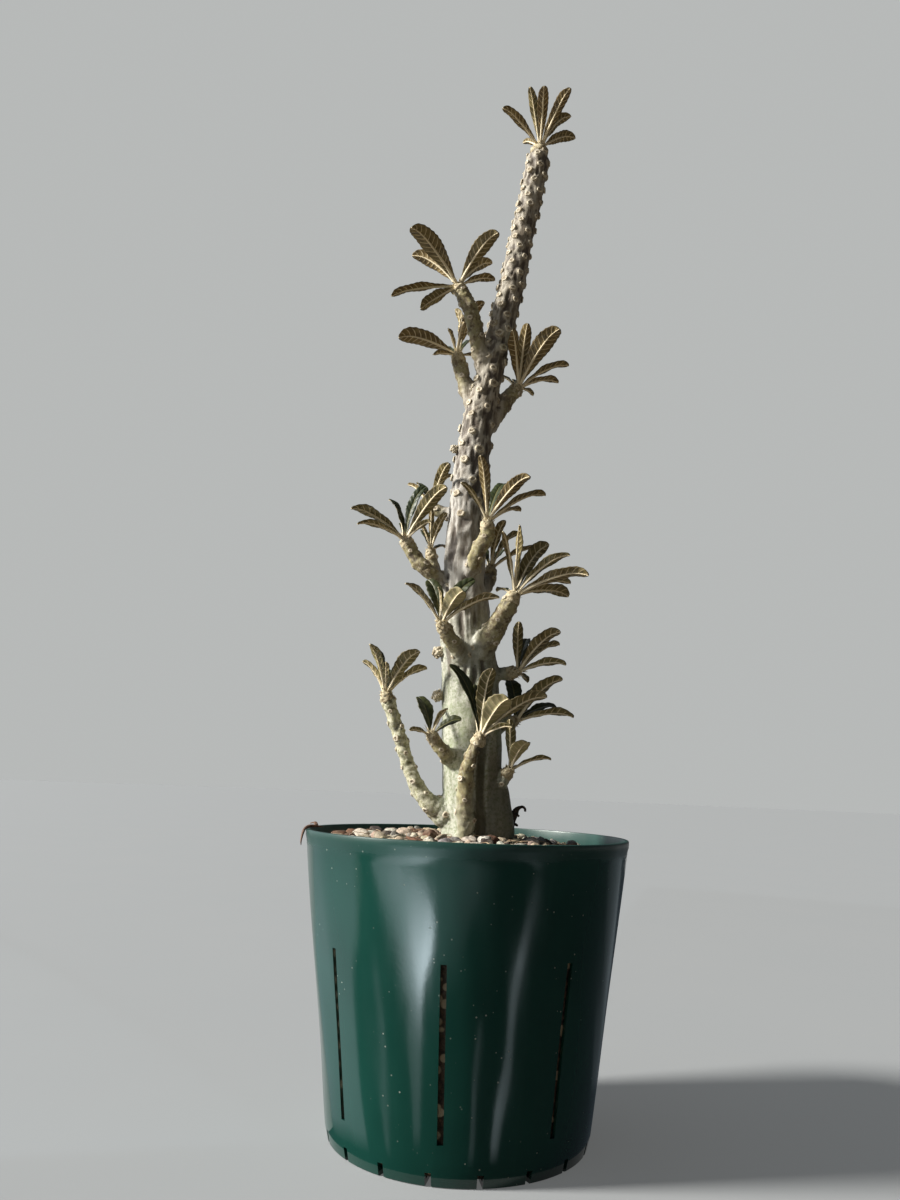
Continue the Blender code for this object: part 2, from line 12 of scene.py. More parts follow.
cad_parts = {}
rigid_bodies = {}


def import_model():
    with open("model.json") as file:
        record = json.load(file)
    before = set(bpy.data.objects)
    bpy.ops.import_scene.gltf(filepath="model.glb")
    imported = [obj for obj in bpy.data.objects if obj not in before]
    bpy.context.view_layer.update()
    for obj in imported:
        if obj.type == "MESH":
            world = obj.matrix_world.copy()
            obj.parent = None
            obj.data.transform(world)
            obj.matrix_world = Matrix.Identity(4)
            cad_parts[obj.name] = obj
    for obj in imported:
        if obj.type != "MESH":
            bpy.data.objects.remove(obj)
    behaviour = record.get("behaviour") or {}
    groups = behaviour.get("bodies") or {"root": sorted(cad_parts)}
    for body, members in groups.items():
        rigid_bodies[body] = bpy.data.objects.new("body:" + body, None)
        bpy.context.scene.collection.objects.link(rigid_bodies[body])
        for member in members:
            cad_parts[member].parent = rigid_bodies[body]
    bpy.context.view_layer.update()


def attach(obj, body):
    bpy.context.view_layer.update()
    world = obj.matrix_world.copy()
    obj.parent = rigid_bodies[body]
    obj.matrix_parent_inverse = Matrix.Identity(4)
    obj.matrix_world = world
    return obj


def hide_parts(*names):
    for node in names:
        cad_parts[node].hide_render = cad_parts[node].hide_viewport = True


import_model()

# Potted dorstenia, dressed: leaves with raised veins, scarred bark, gravel and a moulded pot.
# Places and sizes are in millimetres, as in the part's source, and are scaled by MM where used.
MM = 0.001

# Camera, set from the rim, the foot and the lean of the pot in the photograph
CAMERA_PLACE = (0.0, -350.0, 121.1)
CAMERA_PITCH = 11.50
CAMERA_YAW = 1.59
CAMERA_ROLL = -2.22
LENS = 27.0
SENSOR_HEIGHT = 36.0

# Pot
POT_HEIGHT = 103.0
RIM_RADIUS = 60.0
RIM_BAND = 3.6
RIM_STEP = 0.5
FOOT_RADIUS = 46.7
FOOT_HEIGHT = 4.3
UNDERSIDE_RADIUS = 45.4
WALL = 1.1
FLOOR = 1.6
POT_STEPS = 144
WALL_ROWS = 22
SLIT_COUNT = 8
SLIT_FIRST_BEARING = -96.0
SLIT_WIDTH = 2.0
SLIT_BOTTOM = 12.5
SLIT_TOP = 66.0
SLOT_COUNT = 18
SLOT_FIRST_BEARING = -80.5
SLOT_WIDTH = 2.0
SLOT_INNER_RADIUS = 38.0
DRAIN_COUNT = 6
DRAIN_RING = 26.0
DRAIN_RADIUS = 3.5
WALL_WAVE = 0.6
WALL_LEAN = 0.003

# Soil and gravel
FIT_GAP = 0.35
SOIL_EDGE_HEIGHT = 97.5
SOIL_MIDDLE_HEIGHT = 100.5
SOIL_DIP = 3.0

# Stem: x, y, z and radius of each point on its middle line
STEM = [
    (3, 1, 68, 6.0),
    (3, 1, 82, 10.0),
    (2.5, 1, 96, 11.8),
    (2, 1, 108, 11.8),
    (1.5, 0, 120, 11.6),
    (1, 0, 134, 11.6),
    (0, 0, 149, 11.3),
    (-1, 0, 165, 10.8),
    (-3, 0, 181, 9.8),
    (-4, 0, 197, 8.6),
    (-4.5, 0, 213, 7.8),
    (-4, 0, 230, 7.4),
    (-3, 0, 247, 7.3),
    (-1.5, 0, 264, 6.7),
    (1, 0, 278, 5.8),
    (4, 0, 293, 5.5),
    (8, 0, 314, 5.4),
    (12, 0, 333, 5.4),
    (15, 0, 352, 5.0),
    (18.5, 0, 371, 4.9),
    (20.5, 0, 384, 5.0),
    (21.5, 0, 391, 4.8),
    (22, 0, 394.5, 3.8),
]
SIDE_LOBE = [(9, -3, 92, 7.0), (10, -3.5, 105, 7.8), (9, -3, 116, 6.8), (7, -2, 128, 5.2), (5, -1, 142, 4.0)]
FOOT_STUB = [(13, 3, 103, 2.4), (15.6, 2, 105, 2.0), (16.6, 2, 107, 1.6), (17.4, 2, 109, 1.2), (18, 2, 111, 1.3),
             (19, 2, 112.4, 0.9), (20.2, 2, 113.2, 0.55), (21.2, 2, 113.3, 0.5), (21.9, 2, 112.6, 0.45), (21.9, 2, 111.6, 0.4)]
FOOT_TWIGS = [[(17.6, 2, 109.5, 0.6), (18.9, 2, 110.2, 0.5), (19.7, 2, 109.7, 0.35)],
              [(16.4, 2, 106.4, 0.8), (18.2, 1.6, 106.8, 0.6), (19.2, 1.4, 106.2, 0.4)]]
# The cleft between the front ridge and the swelling at its right, carved in and darkened with painted shade
CLEFT = [(4.6, -13, 94), (5.2, -13.5, 102), (4.8, -13, 112), (4.4, -12.5, 124), (5.2, -11.5, 136), (6.0, -10, 150)]
CLEFT_WIDTH = 1.5
CLEFT_DEPTH = 2.2
# Strength of the painted shade laid on the swelling right of the cleft
LOBE_SHADE = 0.72
KNOBS = [(-13.2, -2.5, 171, 2.6), (-12.9, -2.5, 154, 2.7), (-10.2, -2, 255, 1.8)]
VOXEL = 0.67
SMOOTH_ROUNDS = 4

# Dry scrap on the left rim, and fibres in the gravel
DRY_SCRAP = [
    [(-52.5, -13, 103.8, 0.25), (-54.8, -13.8, 104.0, 0.55), (-57.2, -14.6, 103.9, 0.75), (-58.7, -15.4, 102.9, 0.75),
     (-59.2, -16.4, 100.8, 0.55), (-59.4, -17.0, 98.8, 0.35), (-59.4, -16.6, 97.4, 0.2)],
    [(-54.8, -13.6, 104.4, 0.5), (-55.6, -12.0, 105.2, 0.4), (-57.4, -10.8, 104.9, 0.25)],
]
FIBRE_COUNT = 40
FIBRE_RADIUS = 0.11
FIBRE_ARCH = 2.4

# Leaf scars up the stem
SCAR_BOTTOM = 200.0
SCAR_FULL = 240.0
SCAR_TOP = 392.0
SCAR_RISE_LOW = 1.7
SCAR_RISE_HIGH = 0.95
CUSHION_REACH = 3.1
CUSHION_RISE = 0.60
SCAR_TURN = 137.5

# Leaves
BLADE_THICKNESS = 0.5
WIDTH_SHARE = 0.106
YOUNG_WIDTH = 1.9
YOUNG_TONE = 2.0
FOLD = 0.30
ARCH = 30.0
TIP_HOOK = 22.0
HOOK_START = 0.7
HOOK_EVEN = 0.13
HUB_LENGTH = 4.6
HUB_HEART = 2.2
ROOT_OFFSET = 1.3
STALK_SHARE = 0.17
WIDEST = 0.65
VEIN_SPACING = 2.8
VEIN_LEAN = 0.10
BULGE = 0.22
VEIN_HEIGHT = 0.08

# Dark card in front of the pot: bearings from the front, radii and height
CARD_FROM = -75.0
CARD_TO = 165.0
CARD_NEAR = 47.5
CARD_FAR = 900.0
CARD_HEIGHT = 2.0
CARD_GLOW = (0.035, 0.045, 0.055)
GLOW_COLOUR = (0.80, 0.93, 1.0)
# Each glow is a soft bright shape that the pot's wall mirrors. A row is the height on the wall, the two
# bearings from the front between which it shows there, and its strength at the left and at the right.
GLOWS = [
    [(102, -24, 11, 0.9, 0.35), (92, -20, 7, 0.85, 0.3), (82, -16, 3.5, 0.65, 0.25), (72, -15, 1, 0.45, 0.2),
     (62, -15, -3, 0.25, 0.12), (52, -15, -6, 0.08, 0.05)],
    [(102, -32, -20.5, 2.2, 3.4), (94, -30, -15.5, 2.3, 5.0), (85, -27.5, -11.6, 1.9, 7.0), (78, -25, -10.2, 1.5, 11.0),
     (72, -23.2, -10.6, 1.2, 15.0), (66, -21.5, -11.6, 1.2, 17.0), (60, -19.8, -12.8, 1.2, 13.0), (52, -17.5, -13.8, 1.1, 5.5),
     (40, -17.0, -14.4, 0.9, 1.8), (25, -16.4, -14.2, 0.8, 1.0), (10, -15.8, -14.0, 0.6, 0.5)],
    [(98, 22, 24.0, 0.15, 0.3), (88, 22, 24.2, 0.4, 0.4), (80, 21.0, 23.6, 0.9, 0.7), (68, 18.2, 21.4, 2.4, 1.4),
     (58, 16.2, 19.4, 2.1, 1.1), (46, 15.3, 17.8, 1.4, 0.8), (35, 15.0, 17.6, 1.2, 0.7), (23, 14.1, 16.8, 1.8, 0.8),
     (7, 13.0, 15.2, 1.2, 0.5)],
    [(52, 7, 8.0, 0.3, 0.5), (30, 5.6, 7.0, 0.7, 0.5), (6, 4.4, 6.0, 0.5, 0.3)],
    [(66, -33, -31.6, 0.5, 0.9), (45, -30.8, -29.6, 1.1, 0.8), (20, -28.0, -26.8, 1.0, 0.6), (6, -26.6, -25.6, 0.7, 0.4)],
    [(102, -64, -38, 0.4, 0.9), (75, -65, -39, 0.5, 1.1), (50, -65, -39.5, 0.5, 1.15), (25, -64, -38, 0.5, 1.1),
     (6, -60, -35.5, 0.4, 0.9)],
    [(102, 54, 66, 0.10, 0.30), (80, 57, 69, 0.10, 0.26), (60, 60, 72, 0.08, 0.20), (40, 63, 73, 0.05, 0.14),
     (20, 66, 74, 0.03, 0.08)],
]
GLOW_EDGE = 0.7
GLOW_HEIGHT = 2.6
GLOW_STEP = 0.25

Shoot = namedtuple("Shoot", "branch leaves width", defaults=(1.0,))
Leaf = namedtuple("Leaf", "bearing rise length roll width", defaults=(1.0,))

# Each shoot has its branch as (x, y, z, radius) points from inside the stem to its tip, and its
# leaves as (bearing, rise, length, roll, width): degrees from +X, degrees above level, millimetres,
# degrees that the blade is turned about its own length, and its width against the usual one.
SHOOTS = {
    "rosette_01": Shoot(
        branch=[],
        leaves=[(-135, 12, 26, -10), (-112, 42, 25, 0), (-90, 20, 28, 0), (-65, 20, 29, 10), (-20, 60, 20, 20),
                (20, 55, 27, 50, 1.1), (30, 35, 24, 45, 1.3), (75, 25, 20, 0), (105, 25, 16, 0),
                (130, 40, 15, -40, 1.2)],
        width=0.78),
    "rosette_02": Shoot(
        branch=[(3, 0, 284, 3.6), (-1, -3, 296, 3.4), (-3, -5, 305, 3.2), (-6, -7, 315, 3.2), (-10, -7, 323, 3.0)],
        leaves=[(-130, 20, 33, -20, 1.2), (170, 38, 27, -40, 1.2), (-165, -19, 30, -10, 0.9),
                (-145, -43, 25, -50, 1.2), (-55, 25, 29, 15, 1.15), (35, 45, 24, 45, 1.1), (30, 25, 20, 30),
                (100, 20, 20, 0)]),
    "rosette_03": Shoot(
        branch=[(-1, 0, 270, 3.2), (-5, 1, 279, 3.1), (-8, 2, 289, 3.1), (-10, 2, 296, 3.0)],
        leaves=[(-155, 5, 27, -35, 1.35), (-135, -20, 15, -20), (-110, 25, 14, 30, 0.8), (180, 86, 22, -45),
                (-85, 10, 22, 50, 0.6), (0, 67, 28, 50), (55, 45, 17, 0), (50, 15, 14, 0), (120, 30, 20, 0)]),
    "rosette_04": Shoot(
        branch=[(3, 1, 266, 3.8), (8, 3, 275, 3.4), (11, 4, 280, 3.2), (14, 5, 284, 3.0)],
        leaves=[(-98, 28, 29, -50), (-80, 45, 28, 10, 0.85), (-57, 30, 32, 20, 1.2), (10, 30, 26, 15),
                (25, 20, 22, 15), (60, 8, 14, 0), (90, 30, 20, 0), (140, 35, 18, 0)]),
    "rosette_05": Shoot(
        branch=[(-4, 1, 226, 2.8), (-12, 4, 229, 2.6), (-17, 5, 231, 2.4)],
        leaves=[(-68, 34, 24, 20, 0.9), (50, 55, 22, 40), (125, 50, 18, 0), (150, 45, 17, -30)]),
    "rosette_06": Shoot(
        branch=[(-4, 0, 199, 4.0), (-1, -9, 204, 3.3), (1, -15, 209, 3.0), (4, -18, 214, 2.9), (4, -19, 217, 2.8)],
        leaves=[(-125, 30, 21, -50, 0.5), (-100, 50, 27, 10, 0.75), (-55, 25, 28, 25, 0.9), (60, 55, 24, 0),
                (15, 30, 28, 15), (40, 25, 20, 10)]),
    "rosette_07": Shoot(
        branch=[(-3, 0, 193, 3.8), (-12, -2, 199, 3.2), (-19, -5, 203, 2.9), (-24, -5, 208, 2.8), (-27, -5, 213, 2.8)],
        leaves=[(-150, 20, 26, -20), (-140, 5, 23, -30, 0.7), (155, 65, 20, 10, 0.9), (20, 72, 25, -45, 0.9),
                (-40, 38, 29, 30), (-45, 15, 17, 10), (100, 35, 18, 0)]),
    "rosette_08": Shoot(
        branch=[(-8, 2, 193, 3.0), (-14, 4, 200, 2.7), (-17, 5, 206, 2.5), (-18, 4.5, 211, 2.4)],
        leaves=[(-150, 62, 12, -40, 0.7), (-95, 72, 18, 0, 0.6), (-40, 62, 17, 20, 1.1), (110, 40, 18, 0),
                (80, 55, 17, 0), (60, 20, 13, 0)]),
    "rosette_09": Shoot(
        branch=[(-2, 2, 191, 3.6), (3, 5, 197, 3.0), (6, 8, 203, 2.6), (6, 9, 206, 2.5)],
        leaves=[(-60, 62, 21, 0), (30, 52, 22, 45), (15, 25, 24, 15), (65, 35, 20, 0), (115, 45, 20, 0)]),
    "rosette_10": Shoot(
        branch=[(0, 0, 166, 6.0), (4, -8, 173, 5.0), (8, -12, 179, 4.2), (11.5, -14, 185.5, 3.5), (14, -15, 190, 3.1)],
        leaves=[(-112, 50, 27, -60, 0.5), (-85, 58, 28, 60, 0.7), (10, 58, 25, 60, 1.3), (-35, 30, 27, 20, 0.85),
                (-20, 12, 30, 25), (15, 16, 24, 15), (32, 6, 26, 25, 1.2), (65, 50, 20, 0, 0.9), (118, 15, 15, 0)]),
    "rosette_11": Shoot(
        branch=[(-2, -2, 162, 4.4), (-5, -10, 170, 3.4), (-9, -14, 175, 2.9), (-11, -16, 178, 2.7)],
        leaves=[(-150, 40, 21, -20, 0.8), (140, 65, 20, 35, 1.4), (-120, 78, 14, 40, 0.7),
                (10, 55, 22, -65, 1.2), (-22, 22, 25, 20, 0.9), (-50, 40, 17, 25, 2.0)]),
    "rosette_12": Shoot(
        branch=[(4, 0, 164, 3.0), (10, 0, 163.5, 2.7), (15, -2, 164, 2.5)],
        leaves=[(-30, 40, 24, 20, 1.4), (22, 34, 23, 30), (65, 50, 20, 0), (-20, 8, 20, 30, 1.2), (-90, 80, 20, 0),
                (70, -10, 14, 0)]),
    "rosette_13": Shoot(
        branch=[(0, 0, 105, 7.0), (-9, -2, 110, 5.2), (-15, -4, 114, 3.4), (-19, -4, 119, 2.9),
                (-22.5, -4, 126, 2.6), (-25, -4, 133, 2.4), (-27.5, -4.5, 140, 2.6), (-29.5, -5, 145, 2.4),
                (-32, -5, 151.5, 2.8)],
        leaves=[(-130, 60, 21, 0), (175, 52, 16, -40), (145, 70, 20, 0, 0.8), (-85, 65, 13, 40),
                (-25, 48, 22, 30, 1.45), (20, 34, 20, 30, 1.2), (85, 45, 15, 0)]),
    "rosette_14": Shoot(
        branch=[(6, 0, 142, 3.4), (12, 1, 144, 2.9), (15, 1, 145, 2.6)],
        leaves=[(-8, 5, 23, 25, 1.2), (20, 20, 19, -25, 1.3), (-18, 42, 25, 30, 1.45), (38, 45, 20, -20, 1.2),
                (115, 70, 18, 0, 1.8), (75, 15, 18, 0)]),
    "rosette_15": Shoot(
        branch=[(-0.5, -9, 98, 3.6), (-0.5, -11, 108, 3.6), (-1, -13, 116, 3.2), (-1, -15, 122, 2.9),
                (0, -17, 128, 2.8), (2, -18, 133, 2.7), (3, -18.5, 136, 2.6)],
        leaves=[(-168, 64, 29, 60, 0.8), (112, 76, 20, 0, 1.5), (-65, 71, 26, 0, 1.2), (-48, 42, 20, 25, 2.1),
                (-10, 32, 29, 35, 1.2), (-30, 14, 14, 20, 1.2)]),
    "rosette_16": Shoot(
        branch=[(-2, -4, 127, 3.8), (-8, -10, 131, 3.0), (-11, -12, 134, 2.6), (-13, -13, 136.5, 2.3)],
        leaves=[(130, 60, 17, 10, 1.7), (-42, 48, 13, 0, 1.1), (-5, 28, 13, -45, 1.6), (-150, 8, 9, -40, 1.3)]),
    "rosette_17": Shoot(
        branch=[(7, -3, 115, 4.4), (11, -5, 120, 2.8), (14, -7, 125, 2.3)],
        leaves=[(-60, 42, 15, 10, 2.1), (12, 15, 17, 40, 0.8), (-100, 82, 19, 0)]),
}
PALE_BRANCH = "rosette_13"


def smooth_step(low, high, value):
    """0 below low, 1 above high, and a smooth change between them."""
    share = np.clip((np.asarray(value, float) - low) / (high - low), 0.0, 1.0)
    return share * share * (3 - 2 * share)


class Shape:
    """Points, faces, face materials and point values, collected for one mesh."""

    def __init__(self):
        self.points = []
        self.faces = []
        self.kinds = []
        self.values = {}
        self.count = 0

    def add(self, points, faces, kind=0, **values):
        """Adds points in millimetres and faces that count from them; kind is one number or one a face."""
        points = np.asarray(points, float)
        self.points.append(points)
        self.faces.extend([tuple(int(i) + self.count for i in face) for face in faces])
        self.kinds.extend([kind] * len(faces) if isinstance(kind, int) else list(kind))
        for name, value in values.items():
            value = np.broadcast_to(np.asarray(value, float), (len(points), 3))
            self.values.setdefault(name, []).append(value)
        self.count += len(points)

    def build(self, name, materials):
        """The object, in metres, with smooth faces and its point values as attributes."""
        mesh = bpy.data.meshes.new(name)
        mesh.from_pydata((np.concatenate(self.points) * MM).tolist(), [], self.faces)
        for made in materials:
            mesh.materials.append(made)
        mesh.polygons.foreach_set("material_index", self.kinds)
        mesh.polygons.foreach_set("use_smooth", [True] * len(mesh.polygons))
        for key, rows in self.values.items():
            layer = mesh.attributes.new(key, "FLOAT_VECTOR", "POINT")
            layer.data.foreach_set("vector", np.concatenate(rows).ravel())
        mesh.update()
        return link(name, mesh)


def link(name, mesh):
    """A new object in the scene for a mesh."""
    thing = bpy.data.objects.new(name, mesh)
    bpy.context.scene.collection.objects.link(thing)
    return thing


def ring_faces(rings, sides, closed=True, capped=True):
    """Quads between rings of points, with a flat cap at each end."""
    faces = []
    for ring in range(rings - 1):
        for side in range(sides if closed else sides - 1):
            after = (side + 1) % sides
            low = ring * sides
            high = low + sides
            faces.append((low + side, low + after, high + after, high + side))
    if capped:
        faces.append(tuple(reversed(range(sides))))
        faces.append(tuple(range((rings - 1) * sides, rings * sides)))
    return faces


class Finish:
    """A Principled material with short ways to add and join its nodes."""

    def __init__(self, name, roughness=0.6, **settings):
        self.material = bpy.data.materials.new(name)
        self.material.use_nodes = True
        self.tree = self.material.node_tree
        self.shader = self.tree.nodes["Principled BSDF"]
        self.shader.inputs["Roughness"].default_value = roughness
        for key, value in settings.items():
            self.shader.inputs[key.replace("_", " ")].default_value = value

    def node(self, kind, inputs=None, **settings):
        """Adds a node; inputs maps a socket's name or number to a value or another node's output."""
        made = self.tree.nodes.new(kind)
        for key, value in settings.items():
            setattr(made, key, value)
        for key, value in (inputs or {}).items():
            self.put(made.inputs[key], value)
        return made

    def put(self, socket, value):
        """Sets a socket, or links an output to it."""
        if isinstance(value, bpy.types.NodeSocket):
            self.tree.links.new(value, socket)
        elif hasattr(socket.default_value, "__len__") and len(socket.default_value) == 4:
            socket.default_value = (*value, 1.0) if len(value) == 3 else value
        else:
            socket.default_value = value

    def place(self, scale=(1, 1, 1)):
        """Object coordinates, scaled."""
        source = self.node("ShaderNodeTexCoord").outputs["Object"]
        return self.node("ShaderNodeMapping", {"Vector": source, "Scale": scale}).outputs["Vector"]

    def value_of(self, name):
        """The three numbers of a point attribute."""
        source = self.node("ShaderNodeAttribute", attribute_name=name).outputs["Vector"]
        return self.node("ShaderNodeSeparateXYZ", {0: source}).outputs

    def noise(self, place, scale, detail=4.0, rough=0.6, distortion=0.0):
        """Fractal noise from 0 to 1."""
        made = self.node("ShaderNodeTexNoise", {
            "Vector": place, "Scale": scale, "Detail": detail, "Roughness": rough, "Distortion": distortion})
        return made.outputs["Fac"]

    def cells(self, place, scale, feature="F1", output="Distance"):
        """Cell noise."""
        made = self.node("ShaderNodeTexVoronoi", {"Vector": place, "Scale": scale}, feature=feature)
        return made.outputs[output]

    def step(self, value, low, high, bottom=0.0, top=1.0):
        """A smooth change of value from low to high."""
        made = self.node("ShaderNodeMapRange", {0: value, 1: low, 2: high, 3: bottom, 4: top},
                         interpolation_type="SMOOTHSTEP")
        return made.outputs[0]

    def sum(self, operation, first, second=0.0, third=0.0):
        """One step of arithmetic."""
        made = self.node("ShaderNodeMath", {0: first, 1: second, 2: third}, operation=operation)
        return made.outputs[0]

    def mix(self, share, first, second, kind="MIX"):
        """A mix of two colours."""
        made = self.node("ShaderNodeMix", {0: share, 6: first, 7: second}, data_type="RGBA", blend_type=kind)
        return made.outputs[2]

    def wear(self, colour=None, roughness=None):
        """Gives the shader its colour and roughness."""
        if colour is not None:
            self.put(self.shader.inputs["Base Color"], colour)
        if roughness is not None:
            self.put(self.shader.inputs["Roughness"], roughness)

    def bump(self, height, distance, strength=1.0):
        """Fine relief from a height from 0 to 1; distance is in millimetres."""
        made = self.node("ShaderNodeBump", {"Height": height, "Distance": distance * MM, "Strength": strength})
        self.put(self.shader.inputs["Normal"], made.outputs["Normal"])


def leaf_under():
    """Underside of a leaf: bronze brown fields between thin raised cream veins."""
    made = Finish("leaf_under", 0.5, Specular_IOR_Level=0.3)
    along, side, _ = made.value_of("leaf_map")
    rib, tone, run = made.value_of("leaf_rib")
    place = made.place()
    blotch = made.noise(place, 420.0, 5.0, 0.65)
    bronze = made.mix(made.step(blotch, 0.35, 0.65), (0.120, 0.072, 0.018), (0.230, 0.155, 0.050))
    olive = made.mix(made.step(blotch, 0.3, 0.7), (0.115, 0.098, 0.028), (0.275, 0.245, 0.105))
    tissue = made.mix(tone, bronze, olive)
    tissue = made.mix(made.step(tone, 1.0, 2.0), tissue, made.mix(blotch, (0.40, 0.35, 0.17), (0.58, 0.53, 0.30)))
    net = made.cells(place, 2600.0, "DISTANCE_TO_EDGE")
    tissue = made.mix(made.step(net, 0.02, 0.10, 0.35, 0.0), tissue, (0.24, 0.18, 0.085))
    wander = made.sum("MULTIPLY_ADD", made.noise(place, 900.0, 2.0, 0.5), 0.16, along)
    offset = made.sum("ABSOLUTE", made.sum("SUBTRACT", made.sum("FRACT", made.sum("SUBTRACT", wander, 0.08)), 0.5))
    vein = made.step(offset, 0.39, 0.475)
    reach = made.step(made.sum("ABSOLUTE", side), 0.98, 0.6)
    vein = made.sum("MULTIPLY", vein, made.sum("MULTIPLY_ADD", reach, 0.75, 0.2))
    colour = made.mix(vein, tissue, (0.74, 0.61, 0.37))
    margin = made.step(made.sum("ABSOLUTE", side), 0.90, 1.0, 0.0, 0.8)
    colour = made.mix(margin, colour, (0.055, 0.034, 0.014))
    midrib = made.step(made.sum("ABSOLUTE", rib), 1.30, 0.85)
    ribbed = made.mix(run, (0.90, 0.80, 0.58), (0.78, 0.66, 0.44))
    colour = made.mix(midrib, colour, ribbed)
    made.wear(colour, made.step(blotch, 0.2, 0.8, 0.42, 0.62))
    grain = made.noise(place, 2400.0, 3.0, 0.7)
    made.bump(made.sum("ADD", made.sum("MULTIPLY", vein, 0.6), grain), 0.08, 0.6)
    return made.material


def leaf_upper():
    """Upper side of a leaf: dark glossy green with sunken paler veins."""
    made = Finish("leaf_upper", 0.45, Specular_IOR_Level=0.35)
    along, side, _ = made.value_of("leaf_map")
    rib, tone, _ = made.value_of("leaf_rib")
    place = made.place()
    blotch = made.noise(place, 350.0, 4.0, 0.6)
    tissue = made.mix(made.step(blotch, 0.3, 0.7), (0.010, 0.019, 0.006), (0.026, 0.040, 0.011))
    tissue = made.mix(tone, tissue, (0.034, 0.040, 0.012))
    offset = made.sum("ABSOLUTE", made.sum("SUBTRACT", made.sum("FRACT", along), 0.5))
    vein = made.step(offset, 0.42, 0.49, 0.0, 0.5)
    colour = made.mix(vein, tissue, (0.09, 0.095, 0.03))
    margin = made.step(made.sum("ABSOLUTE", side), 0.93, 1.0, 0.0, 0.6)
    colour = made.mix(margin, colour, (0.10, 0.07, 0.028))
    midrib = made.step(made.sum("ABSOLUTE", rib), 1.0, 0.4, 0.0, 0.8)
    colour = made.mix(midrib, colour, (0.17, 0.16, 0.065))
    made.wear(colour, made.step(blotch, 0.3, 0.8, 0.40, 0.56))
    made.bump(made.noise(place, 1800.0, 3.0, 0.7), 0.05, 0.5)
    return made.material


def crown_finish():
    """Stipules and young buds: cream, browned in places, over an olive brown tip."""
    made = Finish("crown", 0.65, Specular_IOR_Level=0.35)
    shade, _, _ = made.value_of("leaf_map")
    place = made.place()
    blotch = made.noise(place, 620.0, 4.0, 0.65)
    scale = made.mix(made.step(blotch, 0.42, 0.66), (0.74, 0.67, 0.50), (0.42, 0.33, 0.18))
    core = made.mix(made.step(blotch, 0.40, 0.66), (0.56, 0.49, 0.33), (0.26, 0.20, 0.11))
    colour = made.mix(shade, core, scale)
    specks = made.noise(place, 1500.0, 2.0, 0.6)
    colour = made.mix(made.step(specks, 0.58, 0.70), colour, (0.11, 0.065, 0.025))
    made.wear(colour)
    made.bump(blotch, 0.2, 0.8)
    return made.material


def bark_finish():
    """Bark: silver on the upper stem, grey green at the foot, mottled olive and brown on the branches, with painted
    shade in the hollows.
    """
    made = Finish("bark", 0.62, Specular_IOR_Level=0.3)
    crease_shade, branch, pale = made.value_of("bark_map")
    place = made.place()
    height = made.node("ShaderNodeSeparateXYZ", {0: made.node("ShaderNodeTexCoord").outputs["Object"]}).outputs[2]
    fine = made.noise(place, 900.0, 6.0, 0.7)
    broad = made.noise(place, 130.0, 4.0, 0.6)
    patch = made.noise(place, 300.0, 4.0, 0.6)
    streak = made.noise(made.place((1.0, 1.0, 0.22)), 420.0, 5.0, 0.65)
    silver = made.mix(made.step(streak, 0.42, 0.64), (0.47, 0.45, 0.41), (0.23, 0.20, 0.165))
    foot = made.mix(made.step(fine, 0.44, 0.62), (0.50, 0.50, 0.42), (0.26, 0.285, 0.19))
    foot = made.mix(made.step(streak, 0.50, 0.70, 0.0, 0.7), foot, (0.17, 0.175, 0.11))
    foot = made.mix(made.step(broad, 0.48, 0.72, 0.0, 0.7), foot, (0.25, 0.29, 0.165))
    wander = made.sum("MULTIPLY_ADD", broad, 0.06, height)
    trunk = made.mix(made.step(wander, 0.178, 0.235), foot, silver)
    upper = made.mix(made.step(streak, 0.42, 0.62), (0.47, 0.43, 0.355), (0.21, 0.175, 0.13))
    trunk = made.mix(made.step(wander, 0.262, 0.300), trunk, upper)
    olive = made.mix(made.step(patch, 0.40, 0.60), (0.36, 0.32, 0.17), (0.155, 0.115, 0.06))
    olive = made.mix(made.step(fine, 0.50, 0.66), olive, (0.50, 0.46, 0.33))
    chalk = made.mix(made.step(fine, 0.42, 0.62), (0.62, 0.60, 0.46), (0.34, 0.33, 0.19))
    chalk = made.mix(made.step(patch, 0.52, 0.66), chalk, (0.15, 0.14, 0.07))
    limb = made.mix(pale, olive, chalk)
    colour = made.mix(branch, trunk, limb)
    # Painted shade: the hollows, the cleft and the swelling right of the cleft are darkened toward these browns
    dark = made.mix(made.step(height, 0.120, 0.2), (0.095, 0.082, 0.045), (0.070, 0.050, 0.036))
    colour = made.mix(made.step(crease_shade, 0.15, 0.9, 0.0, 0.85), colour, dark)
    specks = made.cells(place, 900.0)
    colour = made.mix(made.step(specks, 0.16, 0.08, 0.0, 0.5), colour, (0.14, 0.15, 0.09))
    made.wear(colour, made.step(fine, 0.3, 0.7, 0.45, 0.72))
    made.bump(made.sum("ADD", fine, made.sum("MULTIPLY", streak, 0.7)), 0.2, 0.8)
    return made.material


def scar_finish():
    """Leaf scars: a corky rim, pale in places, round a darker dimple."""
    made = Finish("scar", 0.7, Specular_IOR_Level=0.3)
    ring, _, _ = made.value_of("bark_map")
    place = made.place()
    fine = made.noise(place, 1600.0, 3.0, 0.6)
    patch = made.noise(place, 230.0, 3.0, 0.6)
    rim = made.mix(made.step(fine, 0.35, 0.65), (0.74, 0.68, 0.55), (0.50, 0.43, 0.31))
    rim = made.mix(made.step(patch, 0.50, 0.64), rim, (0.34, 0.28, 0.19))
    colour = made.mix(made.step(ring, 0.3, 0.8), rim, (0.20, 0.14, 0.085))
    made.wear(colour)
    made.bump(fine, 0.15, 0.7)
    return made.material


def stub_finish():
    """The dead stub at the foot: nearly black, dry and wrinkled."""
    made = Finish("dry_stub", 0.8)
    fine = made.noise(made.place(), 700.0, 5.0, 0.7)
    made.wear(made.mix(made.step(fine, 0.35, 0.7), (0.012, 0.008, 0.006), (0.10, 0.06, 0.04)))
    made.bump(fine, 0.5, 0.9)
    return made.material


